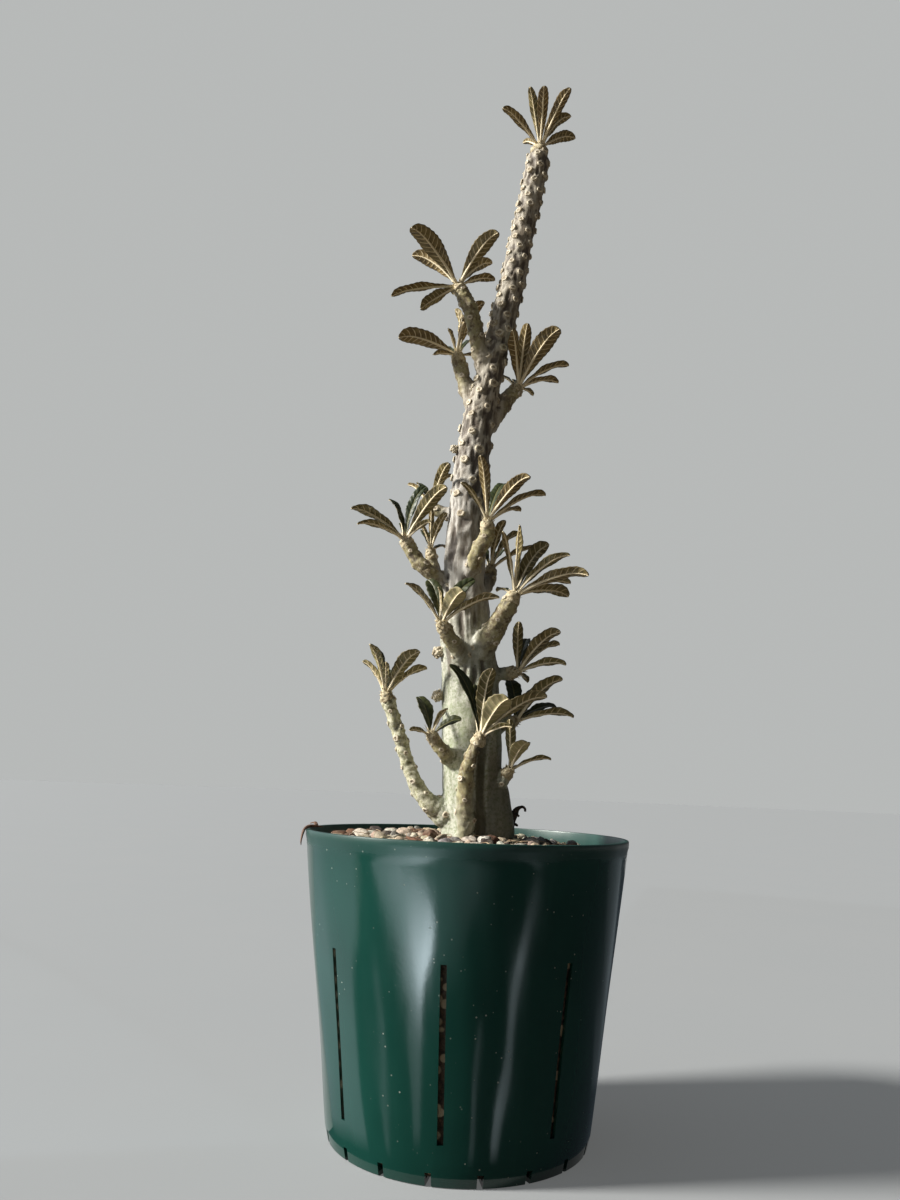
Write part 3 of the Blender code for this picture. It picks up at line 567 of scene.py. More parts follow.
def scrap_finish():
    """Dry leaf: curled and red brown."""
    made = Finish("dry_leaf", 0.75)
    fine = made.noise(made.place(), 600.0, 4.0, 0.65)
    made.wear(made.mix(made.step(fine, 0.35, 0.65), (0.07, 0.032, 0.018), (0.17, 0.09, 0.055)))
    made.bump(fine, 0.3, 0.8)
    return made.material


def fibre_finish():
    """Fine dry roots."""
    made = Finish("fibre", 0.8)
    fine = made.noise(made.place(), 500.0, 3.0, 0.6)
    made.wear(made.mix(made.step(fine, 0.35, 0.65), (0.30, 0.20, 0.12), (0.55, 0.42, 0.28)))
    return made.material


def stone_finish():
    """Gravel: each stone has its own colour, with grain, pores and dust."""
    made = Finish("gravel_stone", 0.85, Specular_IOR_Level=0.3)
    colour = made.node("ShaderNodeAttribute", attribute_name="stone_colour").outputs["Color"]
    place = made.place()
    grain = made.noise(place, 900.0, 5.0, 0.7)
    colour = made.mix(made.step(grain, 0.25, 0.7, 0.75, 0.0), colour, (0.05, 0.035, 0.025), "MIX")
    pores = made.cells(place, 1300.0)
    colour = made.mix(made.step(pores, 0.20, 0.08, 0.0, 0.5), colour, (0.09, 0.06, 0.045))
    dust = made.noise(place, 260.0, 4.0, 0.6)
    colour = made.mix(made.step(dust, 0.52, 0.75, 0.0, 0.4), colour, (0.42, 0.36, 0.27))
    made.wear(colour)
    made.bump(made.sum("SUBTRACT", grain, made.step(pores, 0.25, 0.05, 0.0, 0.6)), 0.35, 0.8)
    return made.material


def soil_finish():
    """The filling between the stones and behind the slits."""
    made = Finish("soil_fill", 0.95)
    place = made.place()
    grain = made.noise(place, 500.0, 6.0, 0.75)
    colour = made.mix(made.step(grain, 0.35, 0.7), (0.022, 0.016, 0.012), (0.14, 0.09, 0.055))
    chips = made.cells(place, 270.0)
    chip = made.mix(made.noise(place, 150.0, 2.0), (0.34, 0.24, 0.15), (0.74, 0.66, 0.50))
    colour = made.mix(made.step(chips, 0.44, 0.34), colour, chip)
    made.wear(colour)
    made.bump(grain, 0.8, 0.9)
    return made.material


def pot_finish():
    """Moulded dark green plastic: semi-gloss, with faint vertical streaks and dust specks."""
    made = Finish("pot_plastic", 0.3, Specular_IOR_Level=0.5)
    place = made.place()
    streak = made.noise(made.place((1.0, 1.0, 0.05)), 120.0, 4.0, 0.6)
    cloud = made.noise(place, 22.0, 3.0, 0.5)
    colour = made.mix(made.step(cloud, 0.3, 0.7), (0.005, 0.038, 0.029), (0.007, 0.050, 0.039))
    colour = made.mix(made.step(streak, 0.55, 0.8, 0.0, 0.3), colour, (0.010, 0.070, 0.055))
    specks = made.cells(place, 330.0)
    picked = made.step(made.noise(place, 60.0, 2.0), 0.46, 0.60)
    dust = made.sum("MULTIPLY", made.step(specks, 0.12, 0.05), picked)
    colour = made.mix(made.sum("MULTIPLY", dust, 0.7), colour, (0.30, 0.34, 0.30))
    height = made.node("ShaderNodeSeparateXYZ", {0: made.node("ShaderNodeTexCoord").outputs["Object"]}).outputs[2]
    rough = made.step(streak, 0.3, 0.7, 0.10, 0.19)
    rough = made.sum("ADD", rough, made.step(height, 0.0965, 0.0995, 0.0, 0.24))
    rough = made.sum("ADD", rough, made.sum("MULTIPLY", dust, 0.4))
    made.wear(colour, rough)
    made.bump(made.noise(place, 700.0, 3.0, 0.6), 0.03, 0.35)
    return made.material


def floor_finish():
    """The plain pale floor, which throws back little light so that the shaded sides stay dark."""
    made = Finish("floor", 0.8, Specular_IOR_Level=0.2)
    cloud = made.noise(made.place(), 9.0, 5.0, 0.6)
    seen = made.mix(cloud, (0.262, 0.277, 0.29), (0.278, 0.288, 0.298))
    bounced = made.node("ShaderNodeLightPath").outputs["Is Diffuse Ray"]
    made.wear(made.mix(bounced, seen, (0.175, 0.15, 0.115)))
    made.put(made.shader.inputs["Emission Color"], (0.42, 0.43, 0.425))
    made.put(made.shader.inputs["Emission Strength"], made.sum("MULTIPLY_ADD", bounced, -0.25, 0.25))
    return made.material


def smooth_path(points, spacing):
    """A rounder path through (x, y, z, radius) points, as rows no further apart than spacing."""
    rows = np.array(points, float)
    ends = np.vstack([2 * rows[0] - rows[1], rows, 2 * rows[-1] - rows[-2]])
    path = [rows[0]]
    for i in range(1, len(ends) - 2):
        a, b, c, d = ends[i - 1:i + 3]
        steps = max(1, int(math.ceil(np.linalg.norm((c - b)[:3]) / spacing)))
        for k in range(1, steps + 1):
            t = k / steps
            path.append(0.5 * (2 * b + (c - a) * t + (2 * a - 5 * b + 4 * c - d) * t * t
                               + (3 * b - a - 3 * c + d) * t * t * t))
    return np.array(path)


def path_frames(path):
    """Direction and two crossing directions at each row of a path, with no twist."""
    ahead = np.gradient(path[:, :3], axis=0)
    ahead /= np.linalg.norm(ahead, axis=1)[:, None]
    first = np.empty_like(ahead)
    guide = np.array([1.0, 0.0, 0.0])
    for i, direction in enumerate(ahead):
        guide = guide - direction * guide.dot(direction)
        guide /= np.linalg.norm(guide)
        first[i] = guide
    return ahead, first, np.cross(ahead, first)


def tube(shape, path, sides, kind=0, lumps=None, **values):
    """A round tube along a path; lumps(row, angle) adds to its radius."""
    ahead, first, second = path_frames(path)
    angles = np.linspace(0, 2 * math.pi, sides, endpoint=False)
    rings = []
    for i, row in enumerate(path):
        radius = np.full(sides, row[3])
        if lumps:
            radius = radius + np.array([lumps(i, angle) for angle in angles])
        rings.append(row[:3] + radius[:, None] * (np.cos(angles)[:, None] * first[i] + np.sin(angles)[:, None] * second[i]))
    shape.add(np.vstack(rings), ring_faces(len(path), sides), kind, **values)


def leaf_profile(along):
    """Half width along a leaf, as a share of the widest: a narrow stalk, widest past the middle, a round tip."""
    climb = STALK_SHARE + (1 - STALK_SHARE) * np.sin(0.5 * math.pi * np.clip((along - 0.06) / (WIDEST - 0.06), 0, 1)) ** 1.25
    fall = np.clip(1 - (np.clip(along - WIDEST, 0, 1) / (1 - WIDEST)) ** 2.3, 0, 1) ** 0.5
    return climb * np.where(along > WIDEST, fall, 1.0)


LEAF_ROWS = np.concatenate([
    np.linspace(0, 0.90, 50),
    0.90 + 0.10 * np.sin(np.linspace(0, 0.5 * math.pi, 8)[1:]),
])
RIB_COLUMNS = np.array([0.0, 0.5, 0.85, 1.0])
BLADE_COLUMNS = np.array([0.16, 0.34, 0.54, 0.74, 0.90, 1.0])


def add_leaf(shape, heart, leaf, draw):
    """One leaf: a folded arching blade with bulging fields between its veins and a raised midrib."""
    bearing = math.radians(leaf.bearing)
    rise = math.radians(leaf.rise)
    roll = math.radians(leaf.roll)
    across = np.array([-math.sin(bearing), math.cos(bearing), 0.0])
    forward = np.array([math.cos(bearing), math.sin(bearing), 0.0])
    up = np.array([0.0, 0.0, 1.0])
    length = leaf.length - ROOT_OFFSET
    half_width = WIDTH_SHARE * leaf.length * leaf.width
    droop = max(0.2, 1 + min(0.0, leaf.rise) / 45)
    rows = LEAF_ROWS
    slope = rise + droop * math.radians(ARCH) * (0.5 - rows)
    slope += droop * math.radians(TIP_HOOK) * (HOOK_EVEN - np.clip(rows - HOOK_START, 0, 1) / (1 - HOOK_START))
    sway = math.radians(draw.uniform(-7, 7)) * rows
    heading = np.cos(sway)[:, None] * forward + np.sin(sway)[:, None] * across
    ahead = heading * np.cos(slope)[:, None] + up * np.sin(slope)[:, None]
    middle = (ahead[1:] + ahead[:-1]) / 2
    start = heart + (forward * math.cos(rise) + up * math.sin(rise)) * ROOT_OFFSET
    spine = start + np.vstack([np.zeros(3), np.cumsum(middle * (np.diff(rows) * length)[:, None], axis=0)])

    twist = roll + math.radians(draw.uniform(-9, 9)) * (rows - 0.3)
    side_way = np.cross(up, heading)
    upward = np.cross(ahead, side_way)
    normal = upward * np.cos(twist)[:, None] + side_way * np.sin(twist)[:, None]
    side = side_way * np.cos(twist)[:, None] - upward * np.sin(twist)[:, None]

    veins = max(6, round(leaf.length / VEIN_SPACING))
    rib_radius = (0.62 + (0.17 - 0.62) * rows ** 0.75) * (0.55 + 0.45 * leaf.length / 27.0)
    edge_phase = veins * ((rows - 0.1) / 0.9 - VEIN_LEAN)
    width = half_width * leaf_profile(rows) * (1 + 0.035 * np.cos(2 * math.pi * edge_phase))
    width = np.maximum(width, rib_radius * np.where(rows > 0.96, 0.0, 1.06))
    width[-1] = 0.12
    rib_radius = np.minimum(rib_radius, width / 1.04)

    outer = rib_radius[:, None] + (width - rib_radius)[:, None] * BLADE_COLUMNS
    inner = rib_radius[:, None] * RIB_COLUMNS
    right = np.hstack([inner, outer])
    reach = np.hstack([-right[:, :0:-1], right])
    share = reach / width[:, None]
    outward = np.abs(share)
    along = (rows[:, None] - 0.1) / 0.9
    phase = veins * (along - VEIN_LEAN * outward ** 1.5) + 0.25 * np.sign(share)
    field = np.abs(phase - np.floor(phase) - 0.5) * 2
    thin = smooth_step(0.10, 0.30, rows)[:, None] * smooth_step(1.0, 0.93, rows)[:, None]
    size = min(1.0, leaf.length / 24.0)
    bulge = BULGE * size * (0.55 - field ** 2) * thin * np.sin(math.pi * np.clip(outward * 0.93 + 0.04, 0, 1)) ** 0.6
    phase_wave = draw.uniform(0, 2 * math.pi)
    wave = 0.34 * size * outward ** 2 * np.sin(2 * math.pi * 2.4 * rows[:, None] + phase_wave + 1.3 * np.sign(share)) * thin
    lift = FOLD * np.abs(reach) - 0.05 * np.abs(reach) * outward ** 5 + bulge + wave
    half_thick = BLADE_THICKNESS / 2 * (1 - 0.45 * outward ** 3)
    ridge = np.sqrt(np.clip(rib_radius[:, None] ** 2 - reach ** 2, 0, None)) * 1.15
    vein_ridge = VEIN_HEIGHT * size * np.exp(-((1 - field) / 0.22) ** 2) * thin * np.clip(1.15 - outward, 0, 1)
    groove = 0.14 * np.exp(-(reach / (rib_radius[:, None] * 0.9)) ** 2)
    top = lift + half_thick - groove
    bottom = lift - half_thick - np.maximum(ridge, vein_ridge * (np.abs(reach) > rib_radius[:, None]))

    columns = reach.shape[1]

    def surface(height):
        return spine[:, None] + side[:, None] * reach[..., None] + normal[:, None] * height[..., None]

    upper = surface(top)
    lower = surface(bottom)[:, ::-1][:, 1:-1]
    middle_edge = surface(lift)
    upper[:, 0] = middle_edge[:, 0]
    upper[:, -1] = middle_edge[:, -1]
    ring = np.concatenate([upper, lower], axis=1)
    sides = ring.shape[1]
    faces = ring_faces(len(rows), sides)
    kinds = [1 if side_index < columns - 1 else 0 for _ in range(len(rows) - 1) for side_index in range(sides)]
    kinds += [0, 0]

    def both(values):
        return np.concatenate([values, values[:, ::-1][:, 1:-1]], axis=1).ravel()

    rows_wide = np.broadcast_to(rows[:, None], reach.shape)
    olive = 0.6 * draw.uniform(0, 1) + 0.6 * (1 - smooth_step(140, 250, heart[2]))
    olive = YOUNG_TONE if leaf.width >= YOUNG_WIDTH else min(1.0, olive)
    tone = np.full(reach.size + len(rows) * (columns - 2), olive)
    leaf_map = np.stack([both(phase), both(share), both(rows_wide)], axis=1)
    rib = np.stack([both(reach / rib_radius[:, None]), tone, both(rows_wide)], axis=1)
    shape.add(ring.reshape(-1, 3), faces, kinds, leaf_map=leaf_map, leaf_rib=rib)


def add_scale(shape, foot, axis, out, length, width, kind):
    """One pointed stipule that leans out from the crown."""
    steps = 5
    sides = 6
    across = np.cross(axis, out)
    rings = []
    for i in range(steps):
        share = i / (steps - 1)
        place = foot + axis * length * share * (1 - 0.25 * share) + out * length * 0.42 * share ** 1.6
        wide = width * (1 - share) ** 0.75 + 0.05
        angles = np.linspace(0, 2 * math.pi, sides, endpoint=False)
        rings.append(place + np.cos(angles)[:, None] * across * wide + np.sin(angles)[:, None] * out * wide * 0.42)
    shape.add(np.vstack(rings), ring_faces(steps, sides), kind, leaf_map=(1.0, 0.0, 0.0), leaf_rib=(0.0, 0.0, 0.0))


def make_rosette(name, shoot, materials, draw):
    """The crown of one shoot: a bumpy tip, stipules, a young bud and the leaves."""
    path = shoot.branch if shoot.branch else STEM
    before = np.array(path[-2][:3], float)
    tip = np.array(path[-1][:3], float)
    radius = path[-1][3]
    axis = (tip - before) / np.linalg.norm(tip - before)
    foot = tip + axis * FIT_GAP
    shape = Shape()
    zero = (0.0, 0.0, 0.0)
    hub = [(*(foot - axis * 1.5), radius * 0.95), (*foot, radius * 1.04), (*(foot + axis * HUB_LENGTH * 0.4), radius * 0.88),
           (*(foot + axis * HUB_LENGTH * 0.7), radius * 0.5), (*(foot + axis * HUB_LENGTH * 0.85), radius * 0.15)]
    hub_path = smooth_path(hub, 0.35)
    turn = draw.uniform(0, 6)

    def lumps(row, angle):
        spot = Vector((math.cos(angle) * 1.6, math.sin(angle) * 1.6, row * 0.22 + turn * 9))
        return 0.55 * noise.noise(spot) + 0.25 * noise.noise(spot * 2.3)

    tube(shape, hub_path, 28, 2, lumps, leaf_map=zero, leaf_rib=zero)
    heart = foot + axis * HUB_HEART
    guide = np.array([1.0, 0.0, 0.0]) if abs(axis[0]) < 0.7 else np.array([0.0, 1.0, 0.0])
    first = np.cross(axis, guide)
    first /= np.linalg.norm(first)
    second = np.cross(axis, first)
    for index in range(24):
        angle = math.radians(index * 137.5 + turn * 20 + draw.uniform(-14, 14))
        out = first * math.cos(angle) + second * math.sin(angle)
        spot = foot + axis * (0.15 + 0.125 * index) + out * radius * (0.84 - 0.022 * index)
        add_scale(shape, spot, axis, out, draw.uniform(1.3, 3.3), draw.uniform(0.32, 0.62), 2)
    bud = foot + axis * HUB_LENGTH * 0.8
    for index in range(3):
        angle = math.radians(index * 120 + turn * 30)
        out = first * math.cos(angle) + second * math.sin(angle)
        add_scale(shape, bud + out * 0.3, axis, out * 0.35, draw.uniform(3.0, 4.6), 0.55, 2)
    for values in shoot.leaves:
        leaf = Leaf(*values)
        add_leaf(shape, heart, leaf._replace(width=leaf.width * shoot.width), draw)
    piece = shape.build(name + "_leaves", materials)
    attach(piece, "root")
    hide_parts(name)
    return piece


def add_scar(shape, place, outward, radius):
    """One leaf scar: a low round button with a raised rim and a dimple."""
    profile = [(1.16, -0.45, 0.0), (1.04, -0.05, 0.0), (0.88, 0.10, 0.0), (0.68, 0.13, 0.1), (0.50, 0.05, 0.4), (0.3, -0.03, 0.75),
               (0.12, 0.02, 0.5)]
    sides = 16
    turned = outward.to_track_quat("Z", "Y").to_matrix()
    basis = np.array(turned)
    angles = np.linspace(0, 2 * math.pi, sides, endpoint=False)
    seed = Vector(place) * 3.1
    wobble = np.array([1 + 0.22 * noise.noise(Vector((math.cos(a) * 1.3, math.sin(a) * 1.3, 0)) + seed) for a in angles])
    uneven = np.array([0.35 * noise.noise(Vector((math.cos(a) * 1.7, math.sin(a) * 1.7, 5)) + seed) for a in angles])
    rings = []
    marks = []
    for share, height, mark in profile:
        lift = (height + np.where(height > 0, uneven, 0.0)) * radius * 0.62
        flat = np.stack([np.cos(angles) * share * radius * wobble, np.sin(angles) * share * radius * 0.82 * wobble, lift], axis=1)
        rings.append(flat @ basis.T + place)
        marks.append(np.full(sides, mark))
    values = np.zeros((sides * len(profile), 3))
    values[:, 0] = np.concatenate(marks)
    shape.add(np.vstack(rings), ring_faces(len(profile), sides), 1, bark_map=values)


def scar_spots(draw):
    """Place, outward direction and radius of each scar: a spiral up the stem and shorter ones up each branch."""
    spots = []
    trunk = smooth_path(STEM, 1.0)
    height = SCAR_BOTTOM
    index = 0
    while height < SCAR_TOP:
        height += np.interp(height, (SCAR_FULL, 320), (SCAR_RISE_LOW, SCAR_RISE_HIGH))
        index += 1
        if height < SCAR_FULL and draw.random() < 0.72:
            continue
        row = trunk[np.argmin(np.abs(trunk[:, 2] - height))]
        angle = math.radians(index * SCAR_TURN + draw.uniform(-12, 12))
        size = draw.uniform(1.3, 1.8) if height < 320 else draw.uniform(1.15, 1.5)
        spots.append((row, np.array([math.cos(angle), math.sin(angle), 0.12]), size))
    for name, shoot in SHOOTS.items():
        if not shoot.branch:
            continue
        path = smooth_path(shoot.branch, 0.5)
        ahead, first, second = path_frames(path)
        lengths = np.concatenate([[0], np.cumsum(np.linalg.norm(np.diff(path[:, :3], axis=0), axis=1))])
        step = 2.1 if name == PALE_BRANCH else 2.6
        turn = draw.uniform(0, 6)
        for index in range(int((lengths[-1] - 6.0) / step)):
            i = int(np.argmin(np.abs(lengths - (lengths[-1] - 0.6 - index * step))))
            angle = turn + math.radians(index * SCAR_TURN)
            out = first[i] * math.cos(angle) + second[i] * math.sin(angle)
            spots.append((path[i], out, draw.uniform(0.8, 1.3)))
    return spots


def make_stem(materials):
    """Stem and branches as one skin, wrinkled and creased, with painted shade in its hollows, and with its scars and
    buds.
    """
    draw = random.Random(5)
    limbs = [STEM, SIDE_LOBE] + [shoot.branch for shoot in SHOOTS.values() if shoot.branch]
    names = ["stem", "lobe"] + [name for name, shoot in SHOOTS.items() if shoot.branch]
    shape = Shape()
    samples = []
    for index, points in enumerate(limbs):
        path = smooth_path(points, 1.0)
        tube(shape, path, 28 if index < 2 else 18)
        ahead, _, _ = path_frames(path)
        run = np.concatenate([[0], np.cumsum(np.linalg.norm(np.diff(path[:, :3], axis=0), axis=1))])
        for row, direction, distance in zip(path, ahead, run):
            samples.append((*row, *direction, distance, index))
    rough = shape.build("stem_skin", [])
    remesh = rough.modifiers.new("skin", "REMESH")
    remesh.mode = "VOXEL"
    remesh.voxel_size = VOXEL * MM
    relax = rough.modifiers.new("relax", "SMOOTH")
    relax.factor = 0.5
    relax.iterations = SMOOTH_ROUNDS
    skin = bpy.data.meshes.new_from_object(rough.evaluated_get(bpy.context.evaluated_depsgraph_get()))
    bpy.data.objects.remove(rough)

    samples = np.array(samples)
    count = len(skin.vertices)
    points = np.empty(count * 3)
    skin.vertices.foreach_get("co", points)
    points = points.reshape(-1, 3) / MM
    normals = np.empty(count * 3)
    skin.vertices.foreach_get("normal", normals)
    normals = normals.reshape(-1, 3)
    nearest = np.empty(count, int)
    for start in range(0, count, 4000):
        part = points[start:start + 4000]
        gap = np.linalg.norm(part[:, None] - samples[None, :, :3], axis=2) - samples[None, :, 3]
        nearest[start:start + 4000] = np.argmin(gap, axis=1)
    own = samples[nearest]
    radial = points - own[:, :3]
    radial -= own[:, 4:7] * np.sum(radial * own[:, 4:7], axis=1)[:, None]
    limb_index = own[:, 8].astype(int)
    on_branch = (limb_index > 1).astype(float)
    on_trunk = samples[samples[:, 8] < 2]
    trunk_gap = np.empty(count)
    for start in range(0, count, 4000):
        part = points[start:start + 4000]
        gap = np.linalg.norm(part[:, None] - on_trunk[None, :, :3], axis=2) - on_trunk[None, :, 3]
        trunk_gap[start:start + 4000] = gap.min(axis=1)
    away = smooth_step(0.8, 6.0, trunk_gap)
    high = smooth_step(215, 250, points[:, 2]) * (1 - on_branch)
    low = (1 - smooth_step(138, 172, points[:, 2])) * (1 - on_branch)
    middle = (1 - on_branch) * (1 - high) * (1 - low)
    push = np.zeros(count)
    for i in range(count):
        along = own[i, 7] + 31.0 * limb_index[i]
        x, y, z = radial[i]
        lump = noise.noise(Vector((x * 0.10, y * 0.10, along * 0.07)) + Vector((4.1, 0, 0)))
        if on_branch[i]:
            ridge = 1 - 2.2 * abs(noise.noise(Vector((x * 0.55, y * 0.55 + z * 0.3, along * 0.42))))
            knob = noise.noise(Vector((x * 0.30, y * 0.30, z * 0.30 + along * 0.34)))
            bend = 2.2 * noise.noise(Vector((x * 0.2, y * 0.2, along * 0.15 + 17)))
            ring = abs(math.sin(along * math.pi / 2.3 + bend)) - 0.6
            if names[limb_index[i]] == PALE_BRANCH:
                push[i] = 0.42 * (ridge - 0.45) + 0.35 * knob + 0.10 * ring
            else:
                push[i] = 0.26 * (ridge - 0.45) + 0.55 * knob + 0.18 * ring
            continue
        long_ridge = 1 - 2.4 * abs(noise.noise(Vector((x * 0.30, y * 0.30, along * 0.085))))
        fine_ridge = 1 - 2.4 * abs(noise.noise(Vector((x * 0.62, y * 0.62, along * 0.21 + 9))))
        soft = noise.noise(Vector((x * 0.22, y * 0.22, along * 0.16 + 40)))
        push[i] = (middle[i] * (0.70 * (long_ridge - 0.45) + 0.16 * (fine_ridge - 0.4))
                   + high[i] * (0.45 * (long_ridge - 0.5) + 0.45 * (fine_ridge - 0.5) - 0.22)
                   + low[i] * (0.34 * soft + 0.05 * (fine_ridge - 0.4)) + 0.45 * lump * (1 - high[i]))

    spots = scar_spots(draw)
    tree = KDTree(count)
    for i, point in enumerate(points):
        tree.insert(point, i)
    tree.balance()
    settled = []
    for row, outward, radius in spots:
        outward = Vector(outward).normalized()
        aim = Vector(row[:3]) + outward * row[3]
        spot, index, _ = tree.find(aim)
        if (spot - aim).length > 1.6:
            continue
        reach = CUSHION_REACH if radius > 1.0 else radius * 2.0
        for _, i, distance in tree.find_range(aim, reach):
            swell = 1 - distance / reach
            swell = swell * swell * (3 - 2 * swell)
            push[i] = push[i] * (1 - swell) + CUSHION_RISE * swell * min(1.15, radius / 1.3)
        settled.append((index, outward, radius))
    cleft = np.array([row[:3] for row in smooth_path([(*spot, 1.0) for spot in CLEFT], 0.8)])
    cleft_gap = np.full(count, 99.0)
    near = np.nonzero((points[:, 1] < -4) & (points[:, 2] < CLEFT[-1][2] + 6))[0]
    flat = points[near][:, None, [0, 2]] - cleft[None][:, :, [0, 2]]
    cleft_gap[near] = np.linalg.norm(flat, axis=2).min(axis=1)
    carve = np.exp(-(cleft_gap / CLEFT_WIDTH) ** 2)
    push -= CLEFT_DEPTH * carve
    points = points + normals * push[:, None]
    # Painted shade: hollows pushed into the skin, and the carved cleft, are darkened in the colour as if shaded
    crease_shade = np.clip((0.05 - push) / 0.55, 0, 1) * np.where(on_branch > 0, 0.8, 1 - low * 0.7)
    crease_shade = np.clip(crease_shade + carve, 0, 1)
    # Painted shade: the swelling right of the cleft is darkened in the colour as if it lay in shadow
    shaded = smooth_step(5.0, 8.0, points[:, 0]) * (1 - smooth_step(126, 150, points[:, 2])) * (1 - on_branch)
    crease_shade = np.maximum(crease_shade, LOBE_SHADE * shaded)
    skin.vertices.foreach_set("co", (points * MM).ravel())

    shape = Shape()
    faces = [tuple(face.vertices) for face in skin.polygons]
    pale = np.array([1.0 if names[k] == PALE_BRANCH else 0.0 for k in limb_index])
    shape.add(points, faces, 0, bark_map=np.stack([crease_shade, on_branch * away, pale], axis=1))
    for index, outward, radius in settled:
        facing = (outward + Vector(normals[index]) * 0.8).normalized()
        add_scar(shape, points[index] + np.array(facing) * 0.04, facing, radius)
    for x, y, z, radius in KNOBS:
        add_knob(shape, np.array([x, y, z], float), radius, draw)
    stub = smooth_path(FOOT_STUB, 0.8)
    tube(shape, stub, 16, 2, lambda row, angle: 0.16 * math.sin(3 * angle + row * 0.7) * stub[row][3], bark_map=(0, 0, 0))
    for twig in FOOT_TWIGS:
        tube(shape, smooth_path(twig, 0.4), 10, 2, bark_map=(0, 0, 0))
    piece = shape.build("stem_bark", materials)
    bpy.data.meshes.remove(skin)
    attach(piece, "root")
    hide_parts("stem")
    return piece


def add_knob(shape, centre, radius, draw):
    """A dormant bud: a cluster of small corky beads."""
    beads = [(centre, radius * 0.8)]
    for index in range(26):
        lift = 1 - 2 * (index + 0.5) / 26
        angle = math.radians(index * 137.5)
        flat = math.sqrt(1 - lift * lift)
        out = np.array([math.cos(angle) * flat, math.sin(angle) * flat, lift])
        beads.append((centre + out * radius * draw.uniform(0.62, 0.84), radius * draw.uniform(0.22, 0.36)))
    for spot, size in beads:
        work = bmesh.new()
        bmesh.ops.create_icosphere(work, subdivisions=2, radius=size)
        points = np.array([v.co[:] for v in work.verts])
        faces = [tuple(v.index for v in f.verts) for f in work.faces]
        work.free()
        points = np.array([p * (1 + 0.25 * noise.noise(Vector(p) * 2.2 + Vector(spot))) for p in points])
        shape.add(points + spot, faces, 1, bark_map=(0.0, 0.0, 0.0))


def soil_height(radius, x):
    """Height of the soil under the gravel: mounded in the middle, dipping at the right."""
    inner = RIM_RADIUS - 2.0
    share = min(1.0, radius / inner)
    mound = SOIL_MIDDLE_HEIGHT + (SOIL_EDGE_HEIGHT - SOIL_MIDDLE_HEIGHT) * share * share
    return mound - SOIL_DIP * max(0.0, x / inner)


def wall_radius(z):
    """The pot's outer radius at a height, below its rim band."""
    climb = (z - FOOT_HEIGHT) / (POT_HEIGHT - RIM_BAND - FOOT_HEIGHT)
    return FOOT_RADIUS + (RIM_RADIUS - RIM_STEP - FOOT_RADIUS) * climb


WHITE = (0.64, 0.59, 0.50)
CREAM = (0.52, 0.44, 0.32)
PINK = (0.42, 0.31, 0.25)
RED_BROWN = (0.17, 0.085, 0.05)
GREY = (0.30, 0.29, 0.28)
DARK = (0.06, 0.052, 0.046)
# Share of each colour in the gravel
STONE_COLOURS = [(WHITE, 7), (CREAM, 8), (PINK, 4), (RED_BROWN, 3), (GREY, 5), (DARK, 2)]
# Stones that stand out at the front: x, y, radius and colour
SHOW_STONES = [
    (7.1, -22, 3.6, WHITE), (-4.1, -24, 2.6, GREY), (0.8, -30, 2.5, CREAM), (-12.5, -17, 3.0, RED_BROWN),
    (36, -25, 2.8, RED_BROWN), (30.4, -22, 3.2, WHITE), (14.7, -17, 2.6, DARK), (18.5, -9, 2.8, CREAM),
    (-31.9, -12, 3.0, CREAM), (-25, -15, 2.8, WHITE), (24, -14, 2.7, PINK), (-19, -15, 2.6, WHITE),
    (43, -20, 2.6, RED_BROWN), (-42, -10, 2.6, PINK), (-50, -6, 2.4, RED_BROWN),
]


def add_stone(shape, colours, place, radius, colour, draw, steps):
    """One angular stone with rounded corners."""
    work = bmesh.new()
    bmesh.ops.create_icosphere(work, subdivisions=steps, radius=1.0)
    points = np.array([v.co[:] for v in work.verts])
    faces = [tuple(v.index for v in f.verts) for f in work.faces]
    work.free()
    cuts = []
    for _ in range(10):
        facing = Vector((draw.gauss(0, 1), draw.gauss(0, 1), draw.gauss(0, 1))).normalized()
        cuts.append((np.array(facing), draw.uniform(0.52, 0.84)))
    for facing, depth in cuts:
        over = points @ facing - depth
        points = points - np.where(over > 0, over * 0.93, 0)[:, None] * facing
    seed = Vector((draw.uniform(0, 50), draw.uniform(0, 50), 0))
    points = np.array([p * (1 + 0.16 * noise.noise(Vector(p) * 1.7 + seed) + 0.07 * noise.noise(Vector(p) * 4.5 + seed))
                       for p in points])
    stretch = np.array([draw.uniform(1.0, 1.3), draw.uniform(0.8, 1.0), draw.uniform(0.62, 0.85)])
    turn = Matrix.Rotation(draw.uniform(0, 6.3), 3, "Z") @ Matrix.Rotation(draw.uniform(-0.5, 0.5), 3, "X")
    points = (points * stretch * radius) @ np.array(turn).T + place
    shade = draw.uniform(0.75, 1.12)
    tint = np.clip([channel * shade * draw.uniform(0.94, 1.06) for channel in colour], 0, 1)
    colours.append(np.tile(np.append(tint, 1.0), (len(points), 1)))
    shape.add(points, faces)


